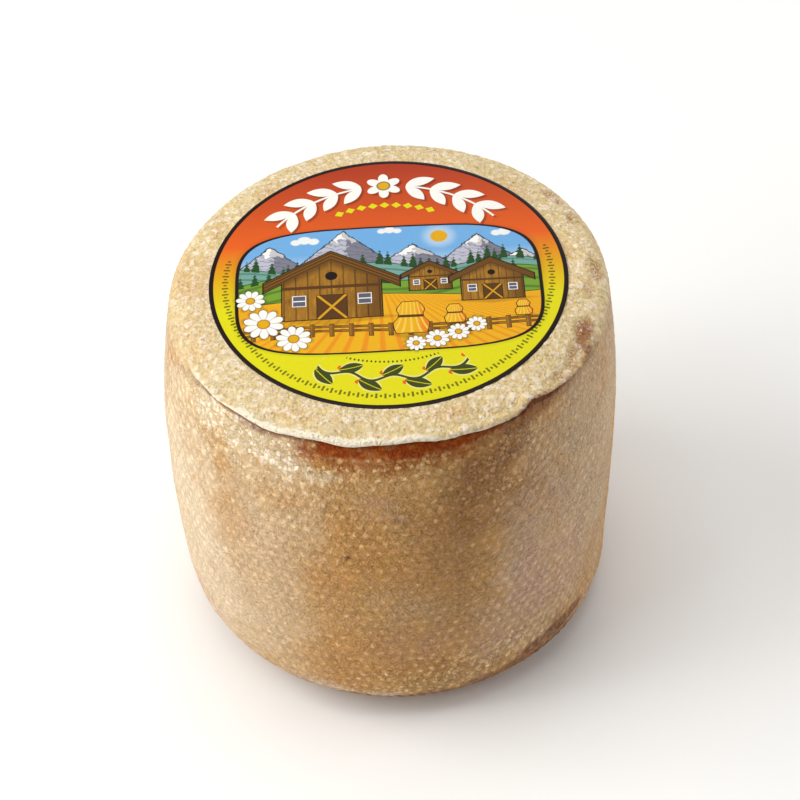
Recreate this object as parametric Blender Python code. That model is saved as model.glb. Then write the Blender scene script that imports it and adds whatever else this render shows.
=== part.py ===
"""A whole drum-shaped cheese with its round paper label, as two solids in metres, +Z up.

The drum stands on its flat base. Its front, where the rim carries a thin flash, faces -Y.
Azimuths are measured from the front, and grow towards +X.
"""

import math

import bmesh
import bpy

# Driving dimensions of the drum
DRUM_HEIGHT = 0.0968
BELLY_RADIUS = 0.05395
BELLY_HEIGHT = 0.0520
RIM_RADIUS = 0.05035
RIM_HEIGHT = 0.0944
RIM_CREST = 0.0960
RIM_ROUNDING = 0.0040
RIM_ROUNDING_DEG = 80.0
FOOT_RADIUS = 0.0524
FOOT_ROUNDING = 0.0143
NARROWING_POWER = 2.25

# The drum is pressed by hand, so it bulges to one side and isn't quite round
LEAN = 0.00133
LEAN_HEIGHT = 0.0198
LEAN_SPAN_BELOW = 0.0123
OUT_OF_ROUND = 0.00051
OUT_OF_ROUND_DEG = 77.0

# The flash: a thin tongue of rind that the press left along the front of the rim
FLASH_MIDDLE_DEG = 1.0
FLASH_FULL_DEG = 52.0
FLASH_END_DEG = 74.0
FLASH_OVERHANG = 0.00030
FLASH_RISE = 0.00050
FLASH_THICKNESS = 0.0010
FLASH_GROOVE = 0.00065
# How far the flash hangs at each azimuth: degrees, and metres out and down along its slant
FLASH_SAG = (
    (-70.0, 0.00120),
    (-62.0, 0.00090),
    (-55.0, -0.00010),
    (-50.0, 0.00015),
    (-43.0, -0.00015),
    (-33.0, 0.00035),
    (-25.0, -0.00040),
    (-20.0, -0.00085),
    (-12.0, -0.00015),
    (-3.0, -0.00100),
    (5.0, -0.00125),
    (12.0, -0.00040),
    (17.0, -0.00045),
    (23.0, 0.00005),
    (32.0, 0.00025),
    (36.5, -0.00115),
    (42.0, -0.00040),
    (51.0, 0.00075),
    (60.0, 0.00130),
    (70.0, 0.00160),
)
SAG_OUT = 0.5
SAG_DOWN = 0.6

# The label
LABEL_RADIUS = 0.0410
LABEL_THICKNESS = 0.0002
LABEL_CROWN = 0.0003
PAPER_GAP = 0.0003

# Facets
AROUND = 120
FOOT_STEPS = 6
SIDE_STEPS = 13
RIM_STEPS = 7
TOP_STEPS = 3


def smooth_step(value):
    value = min(max(value, 0.0), 1.0)
    return value * value * (3.0 - 2.0 * value)


def mix(first, second, share):
    return first + (second - first) * share


def side_radius(height):
    """Radius of the side: widest at the belly, drawn in a little to the foot and more to the rim."""
    if height < BELLY_HEIGHT:
        share = (BELLY_HEIGHT - height) / (BELLY_HEIGHT - FOOT_ROUNDING)
        return BELLY_RADIUS - (BELLY_RADIUS - FOOT_RADIUS) * share**2
    share = (height - BELLY_HEIGHT) / (RIM_HEIGHT - BELLY_HEIGHT)
    return BELLY_RADIUS - (BELLY_RADIUS - RIM_RADIUS) * share**NARROWING_POWER


def lean(height):
    """How far the drum's axis stands to -X at this height: nothing at the top, where the label is."""
    span = DRUM_HEIGHT - LEAN_HEIGHT if height > LEAN_HEIGHT else LEAN_SPAN_BELOW
    return LEAN * (1.0 - ((height - LEAN_HEIGHT) / span) ** 2)


def crown(radius):
    """Rise of the top's middle over the label's edge."""
    return LABEL_CROWN * max(0.0, 1.0 - (radius / LABEL_RADIUS) ** 2)


def flash_share(azimuth):
    """1 along the front of the rim, where the flash is whole, and 0 round the back."""
    away = abs(math.degrees(azimuth) - FLASH_MIDDLE_DEG)
    return smooth_step((FLASH_END_DEG - away) / (FLASH_END_DEG - FLASH_FULL_DEG))


def flash_sag(azimuth):
    """How far the flash hangs here, eased from each given place to the next."""
    degrees = math.degrees(azimuth)
    if degrees <= FLASH_SAG[0][0]:
        return FLASH_SAG[0][1]
    for (before, low), (after, high) in zip(FLASH_SAG, FLASH_SAG[1:]):
        if degrees <= after:
            return mix(low, high, smooth_step((degrees - before) / (after - before)))
    return FLASH_SAG[-1][1]


def foot_outline():
    """From the edge of the flat base up round the foot."""
    turns = [0.5 * math.pi * step / FOOT_STEPS for step in range(FOOT_STEPS)]
    centre = FOOT_RADIUS - FOOT_ROUNDING
    return [
        (centre + FOOT_ROUNDING * math.sin(turn), FOOT_ROUNDING * (1.0 - math.cos(turn)))
        for turn in turns
    ]


def rim_centre():
    """Centre of the rim's rounding: its last point reaches RIM_CREST."""
    height = RIM_CREST - RIM_ROUNDING * math.sin(math.radians(RIM_ROUNDING_DEG))
    return side_radius(height) - RIM_ROUNDING, height


def side_outline():
    top = rim_centre()[1]
    heights = [mix(FOOT_ROUNDING, top, step / SIDE_STEPS) for step in range(SIDE_STEPS)]
    return [(side_radius(height), height) for height in heights]


def round_rim():
    """The rim where it has no flash: an arc from the side over to the top."""
    radius, height = rim_centre()
    turns = [math.radians(RIM_ROUNDING_DEG) * step / (RIM_STEPS - 1) for step in range(RIM_STEPS)]
    return [
        (radius + RIM_ROUNDING * math.cos(turn), height + RIM_ROUNDING * math.sin(turn))
        for turn in turns
    ]


def flash_rim(azimuth):
    """The rim with the flash: a groove, the tongue's underside, its nose and its top."""
    sag = flash_sag(azimuth)
    side = side_radius(RIM_HEIGHT)
    nose = side + FLASH_OVERHANG + SAG_OUT * sag
    low = RIM_HEIGHT + FLASH_RISE - SAG_DOWN * sag
    return [
        (side - 0.3 * FLASH_GROOVE, low - 1.1 * FLASH_THICKNESS),
        (side - FLASH_GROOVE, low - 0.5 * FLASH_THICKNESS),
        (nose - 0.8 * FLASH_THICKNESS, low - 0.1 * FLASH_THICKNESS),
        (nose, low),
        (nose, low + 0.5 * FLASH_THICKNESS),
        (nose - 0.7 * FLASH_THICKNESS, low + FLASH_THICKNESS),
        (nose - 2.2 * FLASH_THICKNESS, low + 1.2 * FLASH_THICKNESS),
    ]


def rim_outline(azimuth):
    share = flash_share(azimuth)
    return [
        (mix(plain[0], flashed[0], share), mix(plain[1], flashed[1], share))
        for plain, flashed in zip(round_rim(), flash_rim(azimuth))
    ]


def top_outline(start):
    """From the rim in to the edge of the label's place."""
    radius, height = start
    steps = [step / TOP_STEPS for step in range(1, TOP_STEPS + 1)]
    return [
        (mix(radius, LABEL_RADIUS, share), mix(height, DRUM_HEIGHT, 1.0 - (1.0 - share) ** 2))
        for share in steps
    ]


def drum_outline(azimuth):
    outline = foot_outline() + side_outline() + rim_outline(azimuth)
    outline += top_outline(outline[-1])
    outline.append((0.5 * LABEL_RADIUS, DRUM_HEIGHT + crown(0.5 * LABEL_RADIUS)))
    return outline


def place(radius, height, azimuth):
    """A point of the drum, with its lean and its slight out-of-round added."""
    oval = OUT_OF_ROUND * math.cos(2.0 * azimuth + math.radians(OUT_OF_ROUND_DEG))
    radius += oval * radius / BELLY_RADIUS
    return (radius * math.sin(azimuth) - lean(height), -radius * math.cos(azimuth), height)


def skinned(name, columns, bottom, top):
    """A closed body from columns of points round an axis, closed by a fan at each end."""
    work = bmesh.new()
    grid = [[work.verts.new(point) for point in column] for column in columns]
    low = work.verts.new(bottom)
    high = work.verts.new(top)
    for index, column in enumerate(grid):
        following = grid[(index + 1) % len(grid)]
        for row in range(len(column) - 1):
            work.faces.new((column[row], following[row], following[row + 1], column[row + 1]))
        work.faces.new((low, following[0], column[0]))
        work.faces.new((high, column[-1], following[-1]))
    bmesh.ops.recalc_face_normals(work, faces=work.faces)
    mesh = bpy.data.meshes.new(name)
    work.to_mesh(mesh)
    work.free()
    mesh.shade_smooth()
    mesh.set_sharp_from_angle(angle=math.radians(50.0))
    body = bpy.data.objects.new(name, mesh)
    bpy.context.scene.collection.objects.link(body)
    return body


def azimuths():
    """AROUND directions, from just past the back round to the back, in radians."""
    return [2.0 * math.pi * (step + 1) / AROUND - math.pi for step in range(AROUND)]


def make_drum():
    columns = [
        [place(radius, height, azimuth) for radius, height in drum_outline(azimuth)]
        for azimuth in azimuths()
    ]
    top = (-lean(DRUM_HEIGHT), 0.0, DRUM_HEIGHT + crown(0.0))
    return skinned("cheese_wheel", columns, (-lean(0.0), 0.0, 0.0), top)


def make_label():
    """A thin disc that follows the top's crown, a paper's gap above it."""
    axis = -lean(DRUM_HEIGHT)
    under = DRUM_HEIGHT + PAPER_GAP
    half = 0.5 * LABEL_RADIUS
    outline = [
        (half, under + crown(half)),
        (LABEL_RADIUS, under),
        (LABEL_RADIUS, under + LABEL_THICKNESS),
        (half, under + LABEL_THICKNESS + crown(half)),
    ]
    columns = [
        [(axis + r * math.sin(azimuth), -r * math.cos(azimuth), z) for r, z in outline]
        for azimuth in azimuths()
    ]
    bottom = (axis, 0.0, under + crown(0.0))
    top = (axis, 0.0, under + LABEL_THICKNESS + crown(0.0))
    return skinned("paper_label", columns, bottom, top)


def centre_on_origin(drum, others):
    """Brings the middle of the drum's box over the origin, and the other pieces with it."""
    middle = []
    for axis in (0, 1):
        values = [vertex.co[axis] for vertex in drum.data.vertices]
        middle.append(0.5 * (min(values) + max(values)))
    for body in [drum] + others:
        for vertex in body.data.vertices:
            vertex.co.x -= middle[0]
            vertex.co.y -= middle[1]


def give_material(body, name, colour, roughness):
    material = bpy.data.materials.new(name)
    material.use_nodes = True
    shader = material.node_tree.nodes["Principled BSDF"]
    shader.inputs["Base Color"].default_value = (*colour, 1.0)
    shader.inputs["Roughness"].default_value = roughness
    shader.inputs["Metallic"].default_value = 0.0
    body.data.materials.append(material)


def clear_scene():
    for body in list(bpy.data.objects):
        bpy.data.objects.remove(body)


def main():
    clear_scene()
    drum = make_drum()
    label = make_label()
    centre_on_origin(drum, [label])
    give_material(drum, "rind", (0.56, 0.38, 0.21), 0.70)
    give_material(label, "printed_paper", (0.86, 0.52, 0.06), 0.45)


main()
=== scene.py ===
"""A whole drum-shaped cheese with a cloth-pressed rind and a round printed paper label.

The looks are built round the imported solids: the rind as three closed bodies that meet in its
creases, the label with its printed picture, and a plain pale stage with lights and a camera.
Lengths are in metres, and in millimetres in the label's print and the table of marks. Azimuths
are measured from the front, -Y, and grow towards +X.
"""

import math

import bpy
import numpy as np
from bpy.props import FloatProperty, FloatVectorProperty, IntProperty, PointerProperty
from bpy.types import Operator, Panel, PropertyGroup
from mathutils import Matrix, Vector


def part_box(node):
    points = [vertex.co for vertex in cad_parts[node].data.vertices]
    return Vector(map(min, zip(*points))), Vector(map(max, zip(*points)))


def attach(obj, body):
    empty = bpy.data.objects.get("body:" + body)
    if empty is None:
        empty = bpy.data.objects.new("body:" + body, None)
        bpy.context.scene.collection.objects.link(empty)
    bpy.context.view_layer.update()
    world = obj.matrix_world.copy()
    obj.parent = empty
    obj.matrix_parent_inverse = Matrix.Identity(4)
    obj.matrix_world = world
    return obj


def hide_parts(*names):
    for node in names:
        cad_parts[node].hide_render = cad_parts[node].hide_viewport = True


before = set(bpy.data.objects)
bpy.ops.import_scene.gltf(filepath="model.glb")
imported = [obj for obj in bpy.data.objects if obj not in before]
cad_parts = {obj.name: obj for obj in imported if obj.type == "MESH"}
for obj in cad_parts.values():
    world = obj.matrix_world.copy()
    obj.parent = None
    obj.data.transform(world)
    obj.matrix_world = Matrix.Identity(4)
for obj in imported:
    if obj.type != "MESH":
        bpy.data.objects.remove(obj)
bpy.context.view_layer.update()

bl_info = {
    "name": "Cloth-pressed drum cheese",
    "version": (1, 0, 0),
    "blender": (4, 5, 0),
    "location": "View3D > Sidebar > Cheese",
    "description": "Builds the rind, the paper label and the stage of a whole drum-shaped cheese",
    "category": "Add Mesh",
}

LABEL_LOW, LABEL_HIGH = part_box("paper_label")
AXIS_X = 0.5 * (LABEL_LOW.x + LABEL_HIGH.x)
LABEL_RADIUS = 0.5 * (LABEL_HIGH.x - LABEL_LOW.x)
TOP_HEIGHT = LABEL_LOW.z
MM = 0.001

# The drum's outline, as its solid has it
BELLY_RADIUS = 0.05395
BELLY_HEIGHT = 0.0520
RIM_RADIUS = 0.05035
RIM_HEIGHT = 0.0944
RIM_CREST = 0.0960
RIM_ROUNDING = 0.0040
RIM_ROUNDING_DEG = 80.0
FOOT_RADIUS = 0.0524
FOOT_ROUNDING = 0.0143
NARROWING_POWER = 2.25
DRUM_HEIGHT = 0.0968
LABEL_CROWN = 0.0003

# Its lean to one side and its slight out-of-round
LEAN = 0.00133
LEAN_HEIGHT = 0.0198
LEAN_SPAN_BELOW = 0.0123
OUT_OF_ROUND = 0.00051
OUT_OF_ROUND_DEG = 77.0

# The flash: a thin tongue of rind that the press left along the front of the rim
FLASH_MIDDLE_DEG = 1.0
FLASH_FULL_DEG = 52.0
FLASH_END_DEG = 70.0
FLASH_OVERHANG = 0.00030
FLASH_RISE = 0.00050
FLASH_THICKNESS = 0.0010
FLASH_GROOVE = 0.00065
SAG_OUT = 0.5
SAG_DOWN = 0.6
# The unevenness of its edge: long waves, and ragged steps where it is firm and where it is brittle
FLASH_WAVE = 0.00012
FIRM_EDGE = 0.00007
BRITTLE_EDGE = 0.00022
# How far the flash hangs at each azimuth: degrees, and metres out and down along its slant
FLASH_SAG = (
    (-70, 0.00120), (-62, 0.00090), (-55, -0.00010), (-50, 0.00015), (-43, -0.00015),
    (-33, 0.00035), (-25, -0.00040), (-20, -0.00085), (-12, -0.00015), (-3, -0.00100),
    (5, -0.00125), (12, -0.00040), (17, -0.00045), (23, 0.00005), (32, 0.00025), (36.5, -0.00115),
    (42, -0.00040), (51, 0.00075), (60, 0.00130), (70, 0.00160),
)

# Facets: the wall's columns meet every second column of the finer top
SIDE_COLUMNS = 605
FOOT_ROWS = 35
WALL_ROWS = 124
TOP_COLUMNS = 2 * SIDE_COLUMNS
RIM_ROW_STEPS = 4
RING_ROWS = 34
BASE_ROWS = 52
CREASE_ROW = FOOT_ROWS + WALL_ROWS - 1
NOSE_ROW = CREASE_ROW + 3 * RIM_ROW_STEPS
LABEL_COLUMNS = 360
LABEL_ROWS = 60

# Marks on the rind, kind by kind: azimuth in degrees, run in mm, half width, half height, strength.
# The run is the height on the wall, and goes on inwards over the rim, to 106 at the label.
MARKS = {
    "rust": (
        (4, 93.3, 19, 1.6, 1), (-15, 93.5, 10, 1.1, 1), (-29, 94.2, 6, 0.6, 0.6),
        (20, 93.4, 8, 1.3, 0.85), (31, 94, 8, 0.9, 0.45), (-1, 92, 23, 4, 0.6), (-22, 92.6, 4, 2, 0.75),
    ),
    # Dark brown rind on the front right, and painted shade under the rim's right, where its edge faces
    # away and down, and low on the foot
    "umber": (
        (23, 85, 12, 10, 0.85), (18, 74, 9, 14, 0.7), (13, 62, 9, 16, 0.5), (8, 40, 13, 17, 0.3),
        (30, 92, 11, 4, 0.9), (40, 92.6, 11, 3.4, 1), (65, 95.6, 5.5, 2.2, 1), (54, 93.6, 9, 2.4, 0.9),
        (30, 70, 9, 12, 0.35), (26, 7.5, 14, 2.4, 0.8), (-6, 6.5, 22, 2.4, 0.7),
    ),
    # Dark moist patches and painted shade: low on the foot's right where it turns under, under the
    # rim's right, and in the crease on the left
    "stain": (
        (47, 11, 9, 3.8, 1), (38, 10.8, 6, 3, 0.9), (46.5, 14.5, 4.5, 3.2, 0.5),
        (55, 11, 4.5, 2.8, 0.9), (46, 6, 13, 3.6, 1), (30, 9.2, 6, 2.6, 0.7), (20, 8.5, 7, 2.4, 0.6),
        (4, 7.6, 8, 2.2, 0.6), (-14, 7.6, 7, 2.2, 0.6), (-30, 9, 5, 2, 0.4), (38, 95.5, 3, 1.3, 0.7),
        (29.5, 94.4, 4, 1.6, 0.45), (36.5, 94.5, 5, 1.9, 0.7), (44, 93.6, 5, 1.8, 0.9),
        (51.5, 93.4, 5, 1.8, 0.9), (59, 94, 5, 1.6, 0.8), (67, 95, 5, 1.3, 0.6),
        (-37, 94.8, 7.5, 0.8, 0.85),
    ),
    # Orange-brown stains; those on the ring's left, from about -70 to -100, are painted shade that
    # tones down the strong light there
    "ochre": (
        (-20, 90.5, 9, 3.5, 0.9), (-5, 90, 15, 4, 0.9), (12, 90, 11, 3, 0.7), (-28, 80, 8, 6, 0.45),
        (60, 27, 7, 10, 0.35), (60, 17, 4.5, 5, 0.5), (-72, 100.5, 14, 5, 0.3),
        (-95, 101.5, 13, 6, 0.5), (-46, 64, 10, 8, 0.3), (-56, 66, 4, 5, 0.4), (-57, 74, 7, 12, 0.15),
        (-9, 62, 20, 20, 0.2), (0, 24, 30, 12, 0.4), (15, 102.5, 6, 1.6, 0.6), (-28, 103, 7, 1.5, 0.5),
        (-137, 103.5, 9, 2, 0.5), (-117, 103, 7, 2, 0.5), (-100, 100.5, 5, 1.8, 0.4),
        (133, 102, 8, 2, 0.5), (100, 102, 7, 2, 0.4),
    ),
    "dust": (
        (-38, 90.5, 13, 5, 1), (-29, 88.5, 9, 5, 1), (-20, 86.8, 6, 2.6, 0.7), (-53, 91, 9, 4.4, 0.9),
        (-34, 84, 14, 6, 0.45), (-21, 11, 6, 2.4, 0.7), (-6, 9.5, 6, 2, 0.55),
    ),
    "lilac": (
        (0, 75, 1.4, 1.2, 1), (40, 36, 15, 18, 1), (35, 66, 6, 7, 0.7), (-5, 79, 5, 4, 0.6),
        (-63, 17, 10, 10, 0.6), (6, 30, 12, 7, 0.35), (27, 24, 11, 8, 0.6), (-22, 11.5, 8, 2.6, 1),
        (-6, 10, 7, 2.2, 0.9), (36, 12.5, 6, 2.2, 0.7), (20, 10, 6, 1.8, 0.5), (40, 60, 8, 10, 0.5),
    ),
    # Greyer rind, partly painted sheen that pales the sides where they turn away at grazing angles
    "haze": (
        (58, 60, 20, 55, 1), (80, 84, 16, 26, 0.9), (36, 45, 12, 26, 0.9), (29, 32, 12, 13, 0.6),
        (-82, 60, 10, 45, 0.8), (39, 80, 8, 13, 0.5), (36, 22, 16, 12, 0.6), (140, 50, 60, 60, 0.6),
    ),
    # Paler rind, partly painted sheen on the sides' grazing edges
    "cream": (
        (-64, 48, 19, 56, 1), (-92, 50, 16, 60, 0.7), (74, 68, 9, 14, 0.35), (-24, 70, 8, 16, 0.4),
        (-56, 30, 19, 28, 0.9), (-36, 45, 15, 50, 0.5), (-29, 18, 11, 11, 0.25), (-40, 60, 9, 22, 0.5),
        (-150, 50, 30, 50, 0.5),
    ),
    "streaks": (
        (43, 67, 16, 20, 1), (33, 52, 10, 12, 0.5),
    ),
    "pits": (
        (-12, 62.5, 0.8, 0.7, 1), (124, 96.4, 5, 1.7, 0.9), (114, 96.4, 4, 1.4, 0.8),
        (91, 95.9, 5.5, 2, 1), (38, 95.6, 6, 1.5, 1), (52, 96.4, 9, 1.4, 0.7), (37, 92.4, 9, 2.6, 0.6),
        (82, 97.4, 4, 1.6, 0.6), (66, 96.6, 5, 2.2, 1), (57, 97.6, 3.5, 1.4, 0.8),
        (47, 97.4, 3, 1.2, 0.6), (-76, 91, 3, 1, 0.6), (-66, 94.4, 3, 0.8, 0.5),
    ),
    "crisp": (
        (14, 16, 28, 8, 1), (-64, 84, 18, 9, 0.7), (0, 89, 24, 3.5, 1), (26, 82, 14, 12, 0.9),
        (-20, 80, 12, 6, 0.5),
    ),
    # Painted light that brightens the ring's right, which the lights leave darker than the rest of the
    # ring
    "bleached": (
        (93, 101, 18, 5, 0.8), (90, 101, 8, 3, 0.3),
    ),
    "smooth": (
        (-6, 80, 6, 4, 0.8), (-26, 40, 9, 7, 0.7), (14, 56, 7, 9, 0.5), (44, 66, 14, 26, 0.8),
        (-74, 32, 24, 34, 0.75), (-48, 30, 15, 22, 0.6), (-42, 58, 12, 24, 0.4), (72, 55, 24, 60, 0.75),
        (150, 60, 30, 20, 0.6), (-120, 30, 25, 25, 0.6),
    ),
    "dots": (
        (24, 100, 13, 5, 0.9), (40, 100, 8, 4, 0.6), (-8, 101, 10, 3, 0.5), (-60, 100, 10, 4, 0.4),
    ),
}
RELIEF_MARKS = ("smooth", "dots")
COLOUR_MARKS = [kind for kind in MARKS if kind not in RELIEF_MARKS]
MARK_BORDER_NOISE = 0.45
MARK_REACH = 1.35

# Above these runs, the smear and the bloom go on unchanged up to the crease
RUST_TOP = 0.0933
DUST_TOP = 0.0915

# Along the rim: the pale lip of the flash, the stretch that crumbles, and how high the dry ring
# starts where there is no flash
LIP_MIDDLE_DEG = -16.0
LIP_REACH_DEG = 49.0
LIP_BROAD_DEG = 30.0
LIP_WIDTH = 0.0009
LIP_BROAD_WIDTH = 0.0022
BRITTLE_START_DEG = 18.0
CRUMBLE_START_DEG = 24.0
CRUMBLE_END_DEG = 82.0
RING_EDGE = 0.0915

# Where the two single scars of the front lie: azimuth in degrees and run in metres
PINHOLE = (-12.0, 0.0625)
PINHOLE_RADIUS = 0.0002
PINHOLE_DEPTH = 0.0007
SCAR = (0.0, 0.0750)
SCAR_SIZE = 0.0008
SCAR_DEPTH = 0.00022
SCAR_BORDER = 0.00025

# Relief that has no setting
STREAK_DEPTH = 0.00010
ROLL_RISE = 0.00018
TROUGH_DEPTH = 0.00010
CRUMB_RISE = 0.00022
RING_DEPTH = 0.00006
BASE_HOLLOW = 0.0004
LABEL_CURL = 0.00005
LABEL_SINK = 0.00002

# The wall's tuck below the crease, and the rows of the rind that the label hides
TUCK_HEIGHT = 0.0022
LABEL_OVERLAP = 0.0012
HIDDEN_RADII = (0.036, 0.018)
SHARP_DEG = 75.0

# The darker ring at the foot, moist rind with painted shade where the foot turns under: how high it
# reaches, and its strength at the edge that it stands on
MOIST_AND_SHADE_HEIGHT = 0.0082
MOIST_AND_SHADE_EDGE = 0.35

# The noise: random slopes at its corners, and how it picks and scales them
SEED = 11
RANDOM = np.random.default_rng(SEED)
GRADIENTS = RANDOM.normal(size=(4096, 3))
GRADIENTS /= np.linalg.norm(GRADIENTS, axis=1, keepdims=True)
HASH_PRIMES = (73856093, 19349663, 83492791)
LAYER_SHIFT = 17.3
NOISE_GAIN = 1.7


def tint(red, green, blue):
    """A scene-linear colour from the 0 to 255 values that a screen shows it with."""
    screen = [value / 255.0 for value in (red, green, blue)]
    return [part / 12.92 if part <= 0.04045 else ((part + 0.055) / 1.055) ** 2.4 for part in screen]


def colour_property(name, description, red, green, blue):
    return FloatVectorProperty(
        name=name,
        description=description,
        subtype="COLOR",
        size=3,
        min=0.0,
        max=1.0,
        default=tint(red, green, blue),
    )


def length_property(name, description, default):
    return FloatProperty(name=name, description=description, default=default, unit="LENGTH")


def share_property(name, description, default):
    return FloatProperty(
        name=name, description=description, default=default, min=0.0, max=2.0, subtype="FACTOR"
    )


def power_property(name, side, default):
    description = f"Watts of the {side} light"
    return FloatProperty(name=name, description=description, default=default)


class RindSettings(PropertyGroup):
    weave_bumps: IntProperty(
        name="Bumps Around", description="Bumps of the cloth's imprint round the drum", default=121
    )
    weave_row: length_property("Bump Row", "Height of one row of bumps", 0.0028)
    weave_depth: length_property("Bump Depth", "Depth of the cloth's imprint", 0.00020)
    top_pitch: length_property("Top Pitch", "Pitch of the weaker imprint on the top", 0.0026)
    top_depth: length_property("Top Depth", "Depth of the imprint on the top", 0.00016)
    warp: length_property("Warp", "How far the bumps stand off their even places", 0.00045)
    grain_depth: length_property("Grain", "Depth of the fine grain", 0.00006)
    dents: length_property("Dents", "Depth of the broad unevenness", 0.00016)
    pit_depth: length_property("Pits", "Depth of the crumbled pits along the rim", 0.00055)
    roughness: share_property("Roughness", "Roughness of the dry rind", 0.62)
    tan: colour_property("Tan", "Colour of the rind's ground", 202, 156, 100)
    # Haze and cream: the rind's greyer and paler tones, partly painted sheen on its sides
    haze: colour_property("Haze", "Colour of its greyer side", 204, 181, 153)
    cream: colour_property("Cream", "Colour of its pale side", 233, 217, 189)
    ring: colour_property("Ring", "Colour of the dry top", 222, 203, 163)
    pale: colour_property("Pale", "Colour of the dry tips of the bumps", 246, 229, 211)
    tip: colour_property("Tip", "Colour of the bumps' tips where the rind is moist", 250, 226, 170)
    hollow: colour_property("Hollow", "Colour between the bumps", 172, 124, 58)
    gold: colour_property("Gold", "Colour between the crumbs of the top", 206, 176, 112)
    # Orange-brown stains, and painted shade on the ring's left
    ochre: colour_property("Ochre", "Colour of the orange-brown stains", 198, 128, 44)
    # Dark brown rind, and painted shade under the rim's right and low on the foot
    umber: colour_property("Umber", "Colour of the dark moist zone", 124, 68, 36)
    olive: colour_property("Olive", "Colour of the greenish mottles", 176, 150, 86)
    rust: colour_property("Rust", "Colour of the smear under the flash", 142, 56, 0)
    dust: colour_property("Dust", "Colour of the dry white bloom", 230, 213, 176)
    lilac: colour_property("Lilac", "Colour of the hazy patches", 206, 168, 152)
    lip: colour_property("Lip", "Colour of the flash", 238, 228, 206)
    # Painted shade in the crease right under the flash's overhang
    crease: colour_property("Crease", "Colour of the crease under the flash", 112, 62, 30)
    pit: colour_property("Pit", "Colour inside the crumbled pits", 144, 78, 30)
    # Moist rind, with painted shade where the foot turns under
    foot: colour_property("Foot", "Colour of the moist ring that it stands on", 118, 60, 32)


class LabelSettings(PropertyGroup):
    thickness: length_property("Paper", "Thickness of the paper", 0.00016)
    waviness: length_property("Waviness", "How far the paper follows the rind under it", 0.00006)
    roughness: share_property("Roughness", "Roughness of the coated paper", 0.42)
    border_width: length_property("Border", "Width of the dark border", 0.0010)
    border: colour_property("Border Ink", "Colour of the border and the outlines", 26, 12, 10)
    red: colour_property("Red", "Ground at the top", 166, 54, 26)
    orange: colour_property("Orange", "Ground above the middle", 218, 92, 26)
    gold: colour_property("Gold", "Ground at the middle", 214, 160, 16)
    lime: colour_property("Lime", "Ground at the bottom", 213, 206, 16)
    white: colour_property("White", "Paper white of leaves and blossoms", 236, 234, 228)
    sky: colour_property("Sky", "Sky", 108, 164, 214)
    haze: colour_property("Haze", "Sky near the peaks", 196, 212, 224)
    rock: colour_property("Rock", "Peaks", 180, 180, 194)
    rock_shade: colour_property("Rock Shade", "Shaded side of the peaks", 88, 88, 104)
    meadow: colour_property("Meadow", "Lit hills", 112, 150, 44)
    forest: colour_property("Forest", "Firs and hedges", 34, 72, 32)
    timber: colour_property("Timber", "Wood", 150, 104, 32)
    timber_dark: colour_property("Dark Timber", "Roofs and shaded wood", 84, 52, 16)
    field: colour_property("Field", "Ripe field", 222, 166, 22)
    straw: colour_property("Straw", "Sheaves", 232, 196, 84)
    olive: colour_property("Olive", "Vine at the bottom", 58, 66, 14)


class StageSettings(PropertyGroup):
    floor: colour_property("Floor", "Colour of the floor", 248, 248, 247)
    floor_size: length_property("Floor Size", "Side of the floor", 6.0)
    key_power: power_property("Key", "left", 3.1)
    front_power: power_property("Front", "front", 2.25)
    overhead_power: power_property("Overhead", "top", 2.6)
    back_power: power_property("Back", "back", 1.0)
    fill_power: power_property("Fill", "right", 1.8)
    ambient: FloatProperty(name="Ambient", description="Strength of the room", default=0.31)


# ---------------------------------------------------------------- shape


def smooth_step(value):
    value = np.clip(value, 0.0, 1.0)
    return value * value * (3.0 - 2.0 * value)


def mix(first, second, share):
    return first + (second - first) * share


def noise(points, size, layer=0):
    """Smooth noise, about -1 to 1, whose lumps are of this size, at an array of points."""
    scaled = points / size + LAYER_SHIFT * (layer + 1)
    corner = np.floor(scaled).astype(np.int64)
    share = smooth_step(scaled - corner)
    value = 0.0
    for step in np.ndindex(2, 2, 2):
        weight = np.prod(np.where(step, share, 1.0 - share), axis=-1)
        x, y, z = np.moveaxis((corner + step) * HASH_PRIMES, -1, 0)
        index = (x ^ y ^ z) % len(GRADIENTS)
        slope = np.sum(GRADIENTS[index] * (scaled - corner - step), axis=-1)
        value = value + weight * slope
    return NOISE_GAIN * value


def side_radius(height):
    """Radius of the side: widest at the belly, drawn in a little to the foot and more to the rim."""
    below = np.clip((BELLY_HEIGHT - height) / (BELLY_HEIGHT - FOOT_ROUNDING), 0.0, None)
    above = np.clip((height - BELLY_HEIGHT) / (RIM_HEIGHT - BELLY_HEIGHT), 0.0, None)
    drawn = (BELLY_RADIUS - FOOT_RADIUS) * below**2
    return BELLY_RADIUS - drawn - (BELLY_RADIUS - RIM_RADIUS) * above**NARROWING_POWER


def lean(height):
    """How far the drum's axis stands to -X at this height: nothing at the top."""
    span = np.where(height > LEAN_HEIGHT, DRUM_HEIGHT - LEAN_HEIGHT, LEAN_SPAN_BELOW)
    return LEAN * (1.0 - ((np.minimum(height, DRUM_HEIGHT) - LEAN_HEIGHT) / span) ** 2)


def crown(radius):
    """Rise of the top's middle over the label's edge."""
    return LABEL_CROWN * np.clip(1.0 - (radius / LABEL_RADIUS) ** 2, 0.0, None)


def flash_share(azimuth):
    """1 along the front of the rim, where the flash is whole, and 0 round the back."""
    away = np.abs(np.degrees(azimuth) - FLASH_MIDDLE_DEG)
    return smooth_step((FLASH_END_DEG - away) / (FLASH_END_DEG - FLASH_FULL_DEG))


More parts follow.
